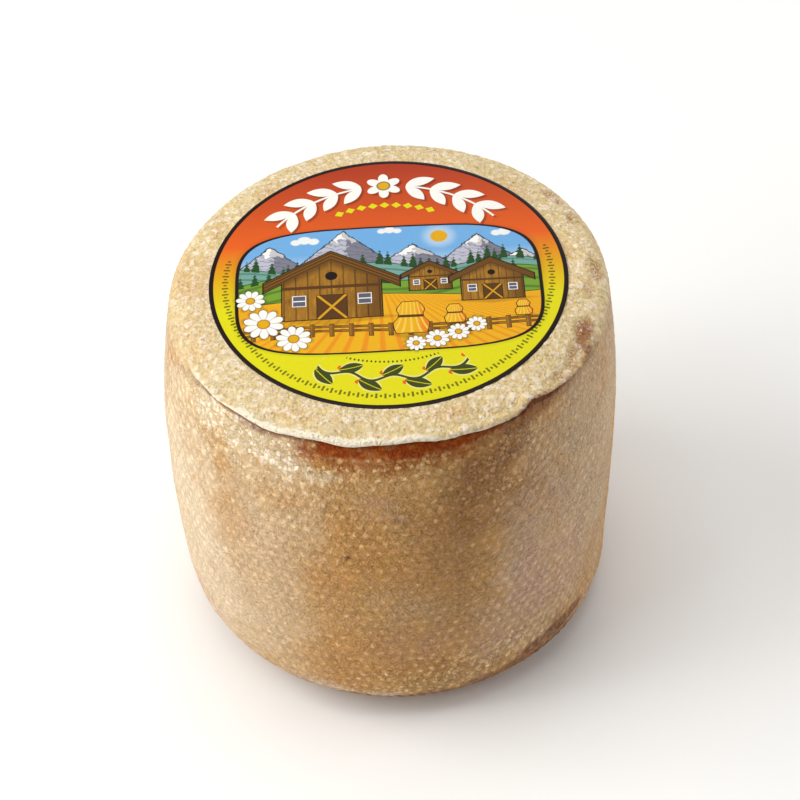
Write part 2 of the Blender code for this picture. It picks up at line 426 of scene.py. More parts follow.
def flash_sag(azimuth):
    """How far the flash hangs, eased from each given place to the next."""
    places = np.array([place for place, _ in FLASH_SAG])
    sags = np.array([sag for _, sag in FLASH_SAG])
    degrees = np.clip(np.degrees(azimuth), places[0], places[-1])
    after = np.clip(np.searchsorted(places, degrees), 1, len(places) - 1)
    share = (degrees - places[after - 1]) / (places[after] - places[after - 1])
    return mix(sags[after - 1], sags[after], smooth_step(share))


def ragged(azimuth, size, layer):
    """Noise along the rim, with lumps of this size."""
    rim = np.stack([np.sin(azimuth), np.cos(azimuth), 0.0 * azimuth], axis=-1) * RIM_RADIUS
    return noise(rim, size, layer)


def round_rim(azimuth, places):
    """The rim where it has no flash, at these shares of its arc, from the side over to the top."""
    height = RIM_CREST - RIM_ROUNDING * math.sin(math.radians(RIM_ROUNDING_DEG))
    radius = side_radius(height) - RIM_ROUNDING
    turn = np.radians(RIM_ROUNDING_DEG) * places[:, None] + 0.0 * azimuth
    return radius + RIM_ROUNDING * np.cos(turn), height + RIM_ROUNDING * np.sin(turn)


def flash_rim(azimuth):
    """The corners of the rim with the flash: a groove, the tongue's underside, nose and top."""
    crumble = smooth_step((np.degrees(azimuth) - BRITTLE_START_DEG) / 25.0)
    wave = FLASH_WAVE * ragged(azimuth, 0.0045, 1)
    wave += mix(FIRM_EDGE, BRITTLE_EDGE, crumble) * ragged(azimuth, 0.0017, 2)
    sag = flash_sag(azimuth) + wave
    thick = FLASH_THICKNESS * mix(1.15, 0.75, crumble) * (1.0 + 0.2 * ragged(azimuth, 0.008, 3))
    side = side_radius(RIM_HEIGHT)
    nose = side + FLASH_OVERHANG + SAG_OUT * sag
    low = RIM_HEIGHT + FLASH_RISE - SAG_DOWN * sag
    groove_low = RIM_HEIGHT + FLASH_RISE - SAG_DOWN * flash_sag(azimuth)
    corners = (
        (side - 0.3 * FLASH_GROOVE, groove_low - 1.1 * FLASH_THICKNESS),
        (side - FLASH_GROOVE, groove_low - 0.5 * FLASH_THICKNESS),
        (nose - 0.8 * FLASH_THICKNESS, low - 0.1 * thick),
        (nose, low),
        (nose, low + 0.5 * thick),
        (nose - 0.7 * FLASH_THICKNESS, low + thick),
        (nose - 2.2 * FLASH_THICKNESS, low + 1.2 * thick),
    )
    return np.array([[radius + 0.0 * azimuth, height + 0.0 * azimuth] for radius, height in corners])


def through(corners, steps):
    """A smooth curve through the corners, with this many steps between each two."""
    before = np.concatenate([2.0 * corners[:1] - corners[1:2], corners[:-2]])
    after = np.concatenate([corners[2:], 2.0 * corners[-1:] - corners[-2:-1]])
    curve = []
    for last, start, end, following in zip(before, corners[:-1], corners[1:], after):
        for share in np.arange(steps) / steps:
            bend = 2.0 * last - 5.0 * start + 4.0 * end - following
            twist = 3.0 * (start - end) + following - last
            slope = end - last
            curve.append(start + 0.5 * share * (slope + share * (bend + share * twist)))
    return np.array(curve + [corners[-1]])


def rim_outline(azimuth):
    """Radii and heights of the rim's rows, from the crease up over the flash."""
    flashed = through(flash_rim(azimuth), RIM_ROW_STEPS)
    places = np.linspace(0.0, 1.0, len(flashed))
    radius, height = round_rim(azimuth, places)
    share = flash_share(azimuth)
    return mix(radius, flashed[:, 0], share), mix(height, flashed[:, 1], share)


def placed(radius, height, azimuth):
    """Points of the drum, with its lean and its slight out-of-round added."""
    oval = OUT_OF_ROUND * np.cos(2.0 * azimuth + math.radians(OUT_OF_ROUND_DEG))
    radius = radius + oval * radius / BELLY_RADIUS
    x = AXIS_X + radius * np.sin(azimuth) - lean(height)
    return np.stack([x, -radius * np.cos(azimuth), height + 0.0 * radius], axis=-1)


def azimuths(columns):
    """Directions all round, from the back and round the front to the back again."""
    return 2.0 * math.pi * np.arange(columns) / columns - math.pi


def run_of(points, start):
    """Length along each column from its first row, added to the run of that row."""
    steps = np.linalg.norm(np.diff(points, axis=0), axis=-1)
    return start + np.concatenate([0.0 * steps[:1], np.cumsum(steps, axis=0)])


def mark(kind, azimuth, run, border):
    """Strength of one kind of mark, 0 to 1, with uneven borders."""
    total = 0.0 * run
    for degrees, height, half_width, half_height, strength in MARKS[kind]:
        away = (np.degrees(azimuth) - degrees + 180.0) % 360.0 - 180.0
        across = np.radians(away) * BELLY_RADIUS / (half_width * MM)
        along = (run - height * MM) / (half_height * MM)
        distance = np.hypot(across, along) + MARK_BORDER_NOISE * border
        total = np.maximum(total, strength * smooth_step(MARK_REACH - distance))
    return total


def weave(u, v):
    """The cloth's imprint, 0 between the bumps to 1 on their tips, with u and v in bump pairs."""
    u, v = 2.0 * math.pi * u, 2.0 * math.pi * v
    return (2.0 * np.cos(u) * np.cos(v) + np.cos(2.0 * v) + 1.5) / 4.5


def displaced(points, height):
    """The grid moved out along its normals."""
    along = np.roll(points, -1, axis=1) - np.roll(points, 1, axis=1)
    normal = np.cross(along, np.gradient(points, axis=0))
    normal /= np.linalg.norm(normal, axis=-1, keepdims=True)
    return points + normal * height[..., None]


def turned_body(name, points, low, high, weave_uv, fields):
    """A closed body from rows of points round an axis, closed by a fan at each end.

    weave_uv has one column more than the points, so that the imprint goes on over the last
    facet. The fields become values on the vertices, which the material reads by name.
    """
    rows, columns, _ = points.shape
    index = np.arange(rows * columns).reshape(rows, columns)
    following = np.roll(index, -1, axis=1)
    quads = np.stack([index[:-1], following[:-1], following[1:], index[1:]], axis=-1)
    low_index = rows * columns
    low_fan = np.stack([0 * index[0] + low_index, following[0], index[0]], axis=-1)
    high_fan = np.stack([0 * index[0] + low_index + 1, index[-1], following[-1]], axis=-1)
    corners = np.concatenate([points.reshape(-1, 3), [low], [high]])
    faces = quads.reshape(-1, 4).tolist() + low_fan.tolist() + high_fan.tolist()
    mesh = bpy.data.meshes.new(name)
    mesh.from_pydata(corners.tolist(), [], faces)
    u, v = weave_uv
    for_quads = [
        np.stack([part[:-1, :-1], part[:-1, 1:], part[1:, 1:], part[1:, :-1]], axis=-1).ravel()
        for part in (u, v)
    ]
    loops = np.zeros((len(mesh.loops), 2))
    loops[: len(for_quads[0])] = np.stack(for_quads, axis=-1)
    mesh.uv_layers.new(name="weave").data.foreach_set("uv", loops.ravel())
    for key, values in fields.items():
        data = np.append(np.broadcast_to(values, (rows, columns)).ravel(), [0.0, 0.0])
        attribute = mesh.attributes.new(key, "FLOAT", "POINT")
        attribute.data.foreach_set("value", data.astype(np.float32))
    mesh.validate()
    mesh.shade_smooth()
    mesh.set_sharp_from_angle(angle=math.radians(SHARP_DEG))
    body = bpy.data.objects.new(name, mesh)
    bpy.context.scene.collection.objects.link(body)
    return body


def wrapped(values, extra):
    """A grid with its first column again as the last, a whole turn further."""
    return np.concatenate([values, values[:, :1] + extra], axis=1)


def outline(azimuth):
    """Radii and heights of the rind's rows, from the ring that it stands on to under the label."""
    turn = 0.5 * math.pi * (np.arange(FOOT_ROWS) / FOOT_ROWS)[:, None] + 0.0 * azimuth
    foot_radius = FOOT_RADIUS - FOOT_ROUNDING + FOOT_ROUNDING * np.sin(turn)
    foot_height = FOOT_ROUNDING * (1.0 - np.cos(turn))

    rim_radius, rim_height = rim_outline(azimuth[0])
    share = np.linspace(0.0, 1.0, WALL_ROWS)[:, None]
    wall_height = mix(FOOT_ROUNDING, rim_height[:1], share)
    tuck = side_radius(rim_height[:1]) - rim_radius[:1]
    near_top = smooth_step(1.0 - (rim_height[:1] - wall_height) / TUCK_HEIGHT)
    wall_radius = side_radius(wall_height) - tuck * near_top

    share = (np.arange(1, RING_ROWS + 1) / RING_ROWS)[:, None]
    ring_radius = mix(rim_radius[-1:], LABEL_RADIUS - LABEL_OVERLAP, share)
    outer = np.clip((rim_radius[-1:] - ring_radius) / (rim_radius[-1:] - LABEL_RADIUS), 0.0, 1.0)
    ring_height = mix(rim_height[-1:], TOP_HEIGHT, 1.0 - (1.0 - outer) ** 2)
    hidden = np.array(HIDDEN_RADII)[:, None] + 0.0 * azimuth
    radius = [foot_radius, wall_radius, rim_radius[1:], ring_radius, hidden]
    height = [foot_height, wall_height, rim_height[1:], ring_height, TOP_HEIGHT + crown(hidden)]
    return np.concatenate(radius), np.concatenate(height)


class Patch:
    """The rind's rows from first to last, and two more on each side for their normals.

    inwards is the length from the flash's nose towards the label, and below the length down
    from the crease.
    """

    def __init__(self, columns, first, last):
        azimuth = azimuths(columns)[None, :]
        radius, height = outline(azimuth)
        points = placed(radius, height, azimuth)
        run = run_of(points, FOOT_ROUNDING * (1.0 - 0.5 * math.pi))
        start = max(first - 2, 0)
        rows = slice(start, last + 3)
        self.kept = slice(first - start, last - start + 1)
        self.azimuth = azimuth
        self.turn = np.degrees(azimuth)
        self.points, self.run = points[rows], run[rows]
        self.radius, self.height = radius[rows], height[rows]
        self.inwards = self.run - run[NOSE_ROW]
        self.below = run[CREASE_ROW] - self.run
        self.flashed = flash_share(azimuth) + 0.0 * self.run
        past_nose = np.arange(len(radius))[rows, None] - NOSE_ROW
        self.over_flash = smooth_step((past_nose + 2.0) / 3.0)


def rind_marks(patch, border):
    """The strength of each kind of mark. The smear and the bloom have tattered borders."""
    marks = {kind: mark(kind, patch.azimuth, patch.run, border) for kind in MARKS}
    tattered = 0.9 * noise(patch.points, 0.0042, 35) + 1.1 * noise(patch.points, 0.0016, 36)
    marks["rust"] = mark("rust", patch.azimuth, np.minimum(patch.run, RUST_TOP), tattered)
    marks["dust"] = mark("dust", patch.azimuth, np.minimum(patch.run, DUST_TOP), 0.6 * tattered)
    return marks


def lip_reach(patch):
    """1 along the stretch of the rim where the flash has a pale lip."""
    return smooth_step((LIP_REACH_DEG - np.abs(patch.turn - LIP_MIDDLE_DEG)) / 12.0)


def lip_share(patch):
    """1 on the pale lip along the flash's edge, which has a broad and a narrow stretch."""
    from_middle = np.abs(patch.turn - LIP_MIDDLE_DEG)
    width = mix(LIP_WIDTH, LIP_BROAD_WIDTH, smooth_step((LIP_BROAD_DEG - from_middle) / 8.0))
    width = width * (1.0 + 0.45 * noise(patch.points, 0.0045, 28))
    width = width + 0.0005 * noise(patch.points, 0.0015, 34)
    return lip_reach(patch) * patch.over_flash * smooth_step((width - patch.inwards) / 0.0005)


def crumbled_rim(patch):
    """Loose crumbs along the rim, where the flash is brittle."""
    crumble = smooth_step((patch.turn - CRUMBLE_START_DEG) / 10.0)
    crumble = crumble * smooth_step((CRUMBLE_END_DEG - patch.turn) / 12.0)
    return crumble * np.exp(-((patch.inwards / 0.0016) ** 2)) * noise(patch.points, 0.0010, 39)


def small_marks(azimuth, run):
    """Depth of the pinhole and of the three-cornered scar in the front."""
    x = azimuth * BELLY_RADIUS
    hole = np.hypot(x - math.radians(PINHOLE[0]) * BELLY_RADIUS, run - PINHOLE[1])
    depth = PINHOLE_DEPTH * smooth_step(1.0 - (hole - PINHOLE_RADIUS) / 0.0006)
    across, up = x - math.radians(SCAR[0]) * BELLY_RADIUS, run - SCAR[1]
    edge = np.maximum(np.abs(across) * 0.87 - 0.5 * up, up) - SCAR_SIZE
    depth = depth + SCAR_DEPTH * smooth_step(1.0 - edge / 0.0005)
    return depth - SCAR_BORDER * smooth_step(1.0 - np.abs(edge - 0.0007) / 0.0005)


def cloth_imprint(points, azimuth, run, rind):
    """Where each point of the wall lies in the cloth's imprint, counted in bump pairs."""
    shift = noise(points, 0.0065, 4) + 0.7 * noise(points, 0.0030, 5)
    lift = noise(points, 0.0065, 6) + 0.7 * noise(points, 0.0030, 7)
    pitch = 2.0 * math.pi * BELLY_RADIUS / rind.weave_bumps
    u = azimuth / (2.0 * math.pi) * rind.weave_bumps + rind.warp * shift / pitch
    return u, (run + rind.warp * lift) / (2.0 * rind.weave_row)


def wall_surface(patch, rind, marks, imprint):
    """The wall's relief, and how far each point stands out of its hollows."""
    points, azimuth, run = patch.points, patch.azimuth, patch.run
    each = 1.0 + 0.8 * noise(points, 0.0026, 29)
    vigour = 0.8 + 0.5 * noise(points, 0.012, 8) - 0.75 * marks["smooth"]
    vigour = vigour + 0.5 * np.maximum(marks["dust"], marks["crisp"])
    vigour = np.clip(vigour, 0.1, 1.4) * np.clip(each, 0.0, 2.0)
    bumps = weave(*imprint) ** 1.3
    grains = 0.6 * noise(points, 0.0013, 9) + 0.45 * noise(points, 0.0008, 10)
    broad = noise(points, 0.019, 11) + 0.5 * noise(points, 0.008, 12)
    slanted = azimuth * BELLY_RADIUS * 0.5 - run * 0.87
    along = azimuth * BELLY_RADIUS * 0.87 + run * 0.5
    slants = np.stack([slanted, along * 0.22, 0.0 * run], axis=-1)
    streaks = noise(slants, 0.0012, 33) * marks["streaks"]
    relief = rind.weave_depth * vigour * (bumps - 0.42) + 1.7 * rind.grain_depth * grains
    relief += rind.dents * broad - small_marks(azimuth, run) + STREAK_DEPTH * streaks
    return relief, bumps * np.clip(vigour, 0.0, 1.3) + 0.3 * grains + 0.2 * streaks


def top_surface(points, rind):
    """The top's relief, and the bumps, lumps and fine grain that it is made of."""
    across, upward = [
        (points[..., axis] + 3.0 * rind.warp * noise(points, 0.0045, 14 + axis)) / rind.top_pitch
        for axis in (0, 1)
    ]
    lumps = noise(points, 0.0021, 16) + 0.7 * noise(points, 0.0011, 17)
    fine = noise(points, 0.0007, 18)
    bumps = weave(across, 0.5 * upward)
    relief = rind.top_depth * (bumps - 0.5) + rind.grain_depth * (1.8 * lumps + 1.3 * fine)
    return relief + rind.dents * noise(points, 0.011, 22), bumps, lumps, fine


def foot_ring(points, height, border):
    """1 on the darker ring round the foot, moist rind with painted shade where the foot turns under; it
    fades to the edge that it stands on.
    """
    around = noise(points, 0.006, 38)
    ring = smooth_step((MOIST_AND_SHADE_HEIGHT - height + 0.0024 * around + 0.0012 * border) / 0.0020)
    return ring * mix(MOIST_AND_SHADE_EDGE, 1.0, smooth_step((height - 0.0012) / 0.0020))


def rind_part(name, rind, columns, first, last, low, high):
    """A closed body from the rind's rows from first to last, with its relief and its marks."""
    patch = Patch(columns, first, last)
    border = 0.6 * noise(patch.points, 0.007, 20) + 0.4 * noise(patch.points, 0.0025, 21)
    fields = rind_marks(patch, border)
    ring = smooth_step((patch.height - RING_EDGE) / 0.0040)
    ring = mix(ring, patch.over_flash, patch.flashed)
    lip = lip_share(patch)
    # The strip just under the crease: its relief flattens, and painted shade darkens it
    groove = patch.flashed * (1.0 - patch.over_flash)
    groove = groove * smooth_step((0.0006 - patch.below) / 0.0005)
    u, v = cloth_imprint(patch.points, patch.azimuth, patch.run, rind)
    wall, tips = wall_surface(patch, rind, fields, (u, v))
    top, bumps, lumps, fine = top_surface(patch.points, rind)
    pits = fields["pits"] * smooth_step(1.2 + 2.2 * noise(patch.points, 0.0022, 19))

    roll = np.exp(-(((patch.inwards - 0.0010) / 0.0008) ** 2))
    trough = np.exp(-(((patch.inwards - 0.0030) / 0.0007) ** 2))
    relief = mix(wall, top, ring) * (1.0 - 0.6 * lip) * (1.0 - 0.8 * groove)
    relief += lip_reach(patch) * (ROLL_RISE * roll - TROUGH_DEPTH * trough) * patch.over_flash
    relief -= rind.pit_depth * pits * mix(0.4, 1.0, np.abs(fine))
    relief += CRUMB_RISE * crumbled_rim(patch) - RING_DEPTH * ring
    free = smooth_step((patch.radius - LABEL_RADIUS + 0.0006) / 0.0012)
    points = displaced(patch.points, relief * (free * smooth_step(patch.height / 0.0015)))
    points[..., 2] = np.maximum(points[..., 2], 0.0)

    dotted = smooth_step(0.4 + 1.2 * noise(points, 0.013, 37)) + fields["dots"]
    crumbs = 0.42 + (0.25 + 0.35 * dotted) * (bumps - 0.45) + 0.45 * lumps + 0.5 * fine
    for kind in RELIEF_MARKS:
        del fields[kind]
    for kind in ("rust", "dust"):
        fields[kind] = fields[kind] * (1.0 - ring)
    fields.update(rise=np.clip(mix(tips, crumbs, ring), 0.0, 1.0), ring=ring, lip=lip)
    fields.update(groove=groove, pits=pits, foot=foot_ring(points, patch.height, border))
    kept, shape = patch.kept, patch.run.shape
    fields = {key: np.broadcast_to(values, shape)[kept] for key, values in fields.items()}
    uv = (wrapped(u[kept], rind.weave_bumps), wrapped(v[kept], 0.0))
    return turned_body(name, points[kept], low, high, uv, fields)


def make_rind_side(rind):
    """The wall, from the ring that it stands on, round the foot and up to the crease."""
    low, high = (AXIS_X - float(lean(0.0)), 0.0, 0.004), (AXIS_X, 0.0, 0.088)
    return rind_part("rind_side", rind, SIDE_COLUMNS, 0, CREASE_ROW, low, high)


def make_rind_top(rind):
    """The top, from the crease over the flash and the ring to the place under the label."""
    low, high = (AXIS_X, 0.0, 0.0885), (AXIS_X, 0.0, TOP_HEIGHT + LABEL_CROWN)
    last = CREASE_ROW + 6 * RIM_ROW_STEPS + RING_ROWS + 2
    return rind_part("rind_top", rind, TOP_COLUMNS, CREASE_ROW, last, low, high)


def make_rind_base(rind):
    """The underside, which carries the cloth's imprint too, up to the ring that it stands on."""
    azimuth = azimuths(SIDE_COLUMNS)[None, :]
    edge = FOOT_RADIUS - FOOT_ROUNDING
    radius = edge * (np.arange(1, BASE_ROWS + 1) / BASE_ROWS)[:, None] + 0.0 * azimuth
    points = placed(radius, 0.0 * radius, azimuth)
    inner = smooth_step((edge - radius) / 0.0030)
    u = (points[..., 0] + rind.warp * noise(points, 0.005, 23)) / rind.top_pitch
    v = (points[..., 1] + rind.warp * noise(points, 0.005, 24)) / (2.0 * rind.top_pitch)
    bumps = weave(u, v)
    hollow = rind.weave_depth * (1.0 - bumps) + rind.grain_depth * (1.0 + noise(points, 0.0012, 25))
    points[..., 2] = inner * (hollow + BASE_HOLLOW * smooth_step(1.0 - radius / edge))
    fields = {kind: 0.0 for kind in (*COLOUR_MARKS, "ring", "lip", "groove")}
    fields["ochre"] = smooth_step(0.2 + noise(points, 0.015, 26))
    fields["lilac"] = smooth_step(noise(points, 0.02, 27))
    fields["foot"] = MOIST_AND_SHADE_EDGE * smooth_step(1.0 - (edge - radius) / 0.004)
    fields["rise"] = bumps
    middle = AXIS_X - float(lean(0.0))
    uv = (wrapped(u, 0.0), wrapped(v, 0.0))
    low, high = (middle, 0.0, float(points[0, :, 2].mean())), (middle, 0.0, 0.0035)
    return turned_body("rind_base", points, low, high, uv, fields)


def make_label(label):
    """The paper: a thin round sheet that follows the top's crown and slight unevenness."""
    azimuth = azimuths(LABEL_COLUMNS)[None, :]
    radius = LABEL_RADIUS * np.linspace(0.0, 1.0, LABEL_ROWS + 1)[1:, None] ** 0.9 + 0.0 * azimuth
    flat = np.stack([radius * np.sin(azimuth), -radius * np.cos(azimuth), 0.0 * radius], axis=-1)
    wave = noise(flat, 0.010, 30) + 0.5 * noise(flat, 0.004, 31)
    lift = label.waviness * wave * smooth_step((LABEL_RADIUS - radius) / 0.004 + 0.3)
    curl = LABEL_CURL * smooth_step(0.3 + noise(flat, 0.02, 32)) * (radius / LABEL_RADIUS) ** 12
    surface = TOP_HEIGHT + crown(radius) + lift + curl
    under = np.minimum(surface - LABEL_SINK, TOP_HEIGHT + crown(radius))
    top = surface + label.thickness
    rounding = 0.25 * label.thickness
    radii = np.concatenate([radius, radius[-1:] + rounding, radius[-1:] + rounding, radius[::-1]])
    heights = np.concatenate([under, under[-1:] + rounding, top[-1:] - rounding, top[::-1]])
    spin = azimuth + 0.0 * radii
    points = np.stack([AXIS_X + radii * np.sin(spin), -radii * np.cos(spin), heights], axis=-1)
    middle = float(surface[0].mean())
    low, high = (AXIS_X, 0.0, middle - LABEL_SINK), (AXIS_X, 0.0, middle + label.thickness)
    uv = (wrapped(0.0 * radii, 0.0), wrapped(0.0 * radii, 0.0))
    return turned_body("label_paper", points, low, high, uv, {})


# ---------------------------------------------------------------- materials


class Field:
    """A socket among a material's nodes. An expression on it adds the Math nodes for it."""

    def __init__(self, tree, socket=None):
        self.tree = tree
        self.socket = socket

    def node(self, kind, settings, sockets, output=0):
        """Adds any other node: its settings first, then the values or links of its sockets."""
        made = self.tree.nodes.new(kind)
        for name, value in settings.items():
            if name == "stops":
                fill_ramp(made.color_ramp, value)
            else:
                setattr(made, name, value)
        for key, value in sockets.items():
            if isinstance(value, Field):
                self.tree.links.new(value.socket, made.inputs[key])
            else:
                made.inputs[key].default_value = value
        return Field(self.tree, made.outputs[output] if len(made.outputs) else None)

    def maths(self, operation, *values):
        return self.node("ShaderNodeMath", {"operation": operation}, dict(enumerate(values)))

    def __add__(self, other):
        return self.maths("ADD", self, other)

    def __sub__(self, other):
        return self.maths("SUBTRACT", self, other)

    def __rsub__(self, other):
        return self.maths("SUBTRACT", other, self)

    def __mul__(self, other):
        return self.maths("MULTIPLY", self, other)

    def __truediv__(self, other):
        return self.maths("DIVIDE", self, other)

    def __neg__(self):
        return self.maths("MULTIPLY", self, -1.0)

    def __abs__(self):
        return self.maths("ABSOLUTE", self)

    __radd__ = __add__
    __rmul__ = __mul__

    def least(self, other):
        return self.maths("MINIMUM", self, other)

    def most(self, other):
        return self.maths("MAXIMUM", self, other)

    def cosine(self):
        return self.maths("COSINE", self)

    def ramp(self, low, high):
        """0 below low, 1 above high, and smooth between."""
        sockets = {"Value": self, "From Min": low, "From Max": high}
        return self.node("ShaderNodeMapRange", {"interpolation_type": "SMOOTHSTEP"}, sockets)

    def under(self, top, mask):
        """This colour with another one over it, where the mask is 1."""
        settings = {"data_type": "RGBA", "clamp_factor": True}
        top = top if isinstance(top, Field) else (*top, 1.0)
        return self.node("ShaderNodeMix", settings, {0: mask, 6: self, 7: top}, 2)

    def times(self, share, mask):
        """This colour multiplied by a number, where the mask is 1."""
        settings = {"data_type": "RGBA", "blend_type": "MULTIPLY", "clamp_factor": True}
        return self.node("ShaderNodeMix", settings, {0: mask, 6: self, 7: (share,) * 3 + (1.0,)}, 2)


def fill_ramp(ramp, stops):
    """Gives a colour ramp these stops, each a position and a colour."""
    while len(ramp.elements) > 1:
        ramp.elements.remove(ramp.elements[-1])
    for number, (position, colour) in enumerate(stops):
        stop = ramp.elements[0] if number == 0 else ramp.elements.new(position)
        stop.position = position
        stop.color = (*colour, 1.0)


def new_material(name):
    """A material with an empty node tree, and the field that its nodes start from."""
    material = bpy.data.materials.new(name)
    material.use_nodes = True
    material.node_tree.nodes.clear()
    return material, Field(material.node_tree)


def finish_material(start, colour, roughness, constants, normal=None):
    """The surface shader and the output, from fields or plain numbers."""
    sockets = {"Base Color": colour, "Roughness": roughness, **constants}
    if normal is not None:
        sockets["Normal"] = normal
    shader = start.node("ShaderNodeBsdfPrincipled", {}, sockets)
    start.node("ShaderNodeOutputMaterial", {}, {"Surface": shader})


def cloud(start, place, scale, detail=2.0, roughness=0.5, output="Fac"):
    """Blender's noise on these coordinates."""
    sockets = {"Vector": place, "Scale": scale, "Detail": detail, "Roughness": roughness}
    return start.node("ShaderNodeTexNoise", {}, sockets, output)


def value_of(start, name):
    """A value that the mesh carries under this name."""
    return start.node("ShaderNodeAttribute", {"attribute_name": name}, {}, "Fac")


def plain_colour(start, colour):
    """A colour that others go over."""
    made = start.node("ShaderNodeRGB", {}, {})
    made.socket.default_value = (*colour, 1.0)
    return made


def part_of(start, colour, channel):
    """One channel of a colour: 0 red, 1 green or 2 blue."""
    return start.node("ShaderNodeSeparateColor", {}, {0: colour}, channel)


def axis_of(start, place, axis):
    """One coordinate of a place: 0 for x and 1 for y."""
    return start.node("ShaderNodeSeparateXYZ", {}, {0: place}, axis)


def flat_place(start, x, y):
    """A place from its x and y."""
    return start.node("ShaderNodeCombineXYZ", {}, {0: x, 1: y})


def pebbles(start, place, scale):
    """Uneven pebbles: how far a point is inside the nearest crack and from the pebble's middle,
    and a random colour for each pebble.
    """
    bend = cloud(start, place, 1.5 * scale, 1.0, 0.5, "Color")
    sockets = {0: bend, 1: (0.9 / scale,) * 3, 2: place}
    bent = start.node("ShaderNodeVectorMath", {"operation": "MULTIPLY_ADD"}, sockets)
    sockets = {"Vector": bent, "Scale": scale, "Randomness": 0.85}
    inside = start.node("ShaderNodeTexVoronoi", {"feature": "DISTANCE_TO_EDGE"}, sockets, "Distance")
    number = start.node("ShaderNodeTexVoronoi", {"feature": "F1"}, sockets, "Color")
    return inside, Field(start.tree, number.socket.node.outputs["Distance"]), number


def fine_imprint(start, place, uv, fine, speck):
    """The cloth's imprint once more, with finer unevenness than the mesh can carry."""
    wander = cloud(start, place, 900.0, 1.0)
    u, v = axis_of(start, uv, 0), axis_of(start, uv, 1)
    u = (u + (wander - 0.5) * 0.3) * (2.0 * math.pi)
    v = (v + (speck - 0.5) * 0.15) * (2.0 * math.pi)
    imprint = (u.cosine() * v.cosine() * 2.0 + (v * 2.0).cosine() + 1.5) * (1.0 / 4.5)
    return imprint + (fine - 0.5) * 0.7


def slanted_lines(start, uv):
    """Fine slanted lines on the wall, as noise that is drawn out along them."""
    round_it, up = axis_of(start, uv, 0), axis_of(start, uv, 1)
    across = up * 13.0 - round_it * 3.8
    along = round_it * 0.55 + up * 0.6
    return cloud(start, flat_place(start, across, along), 1.0, 1.0)


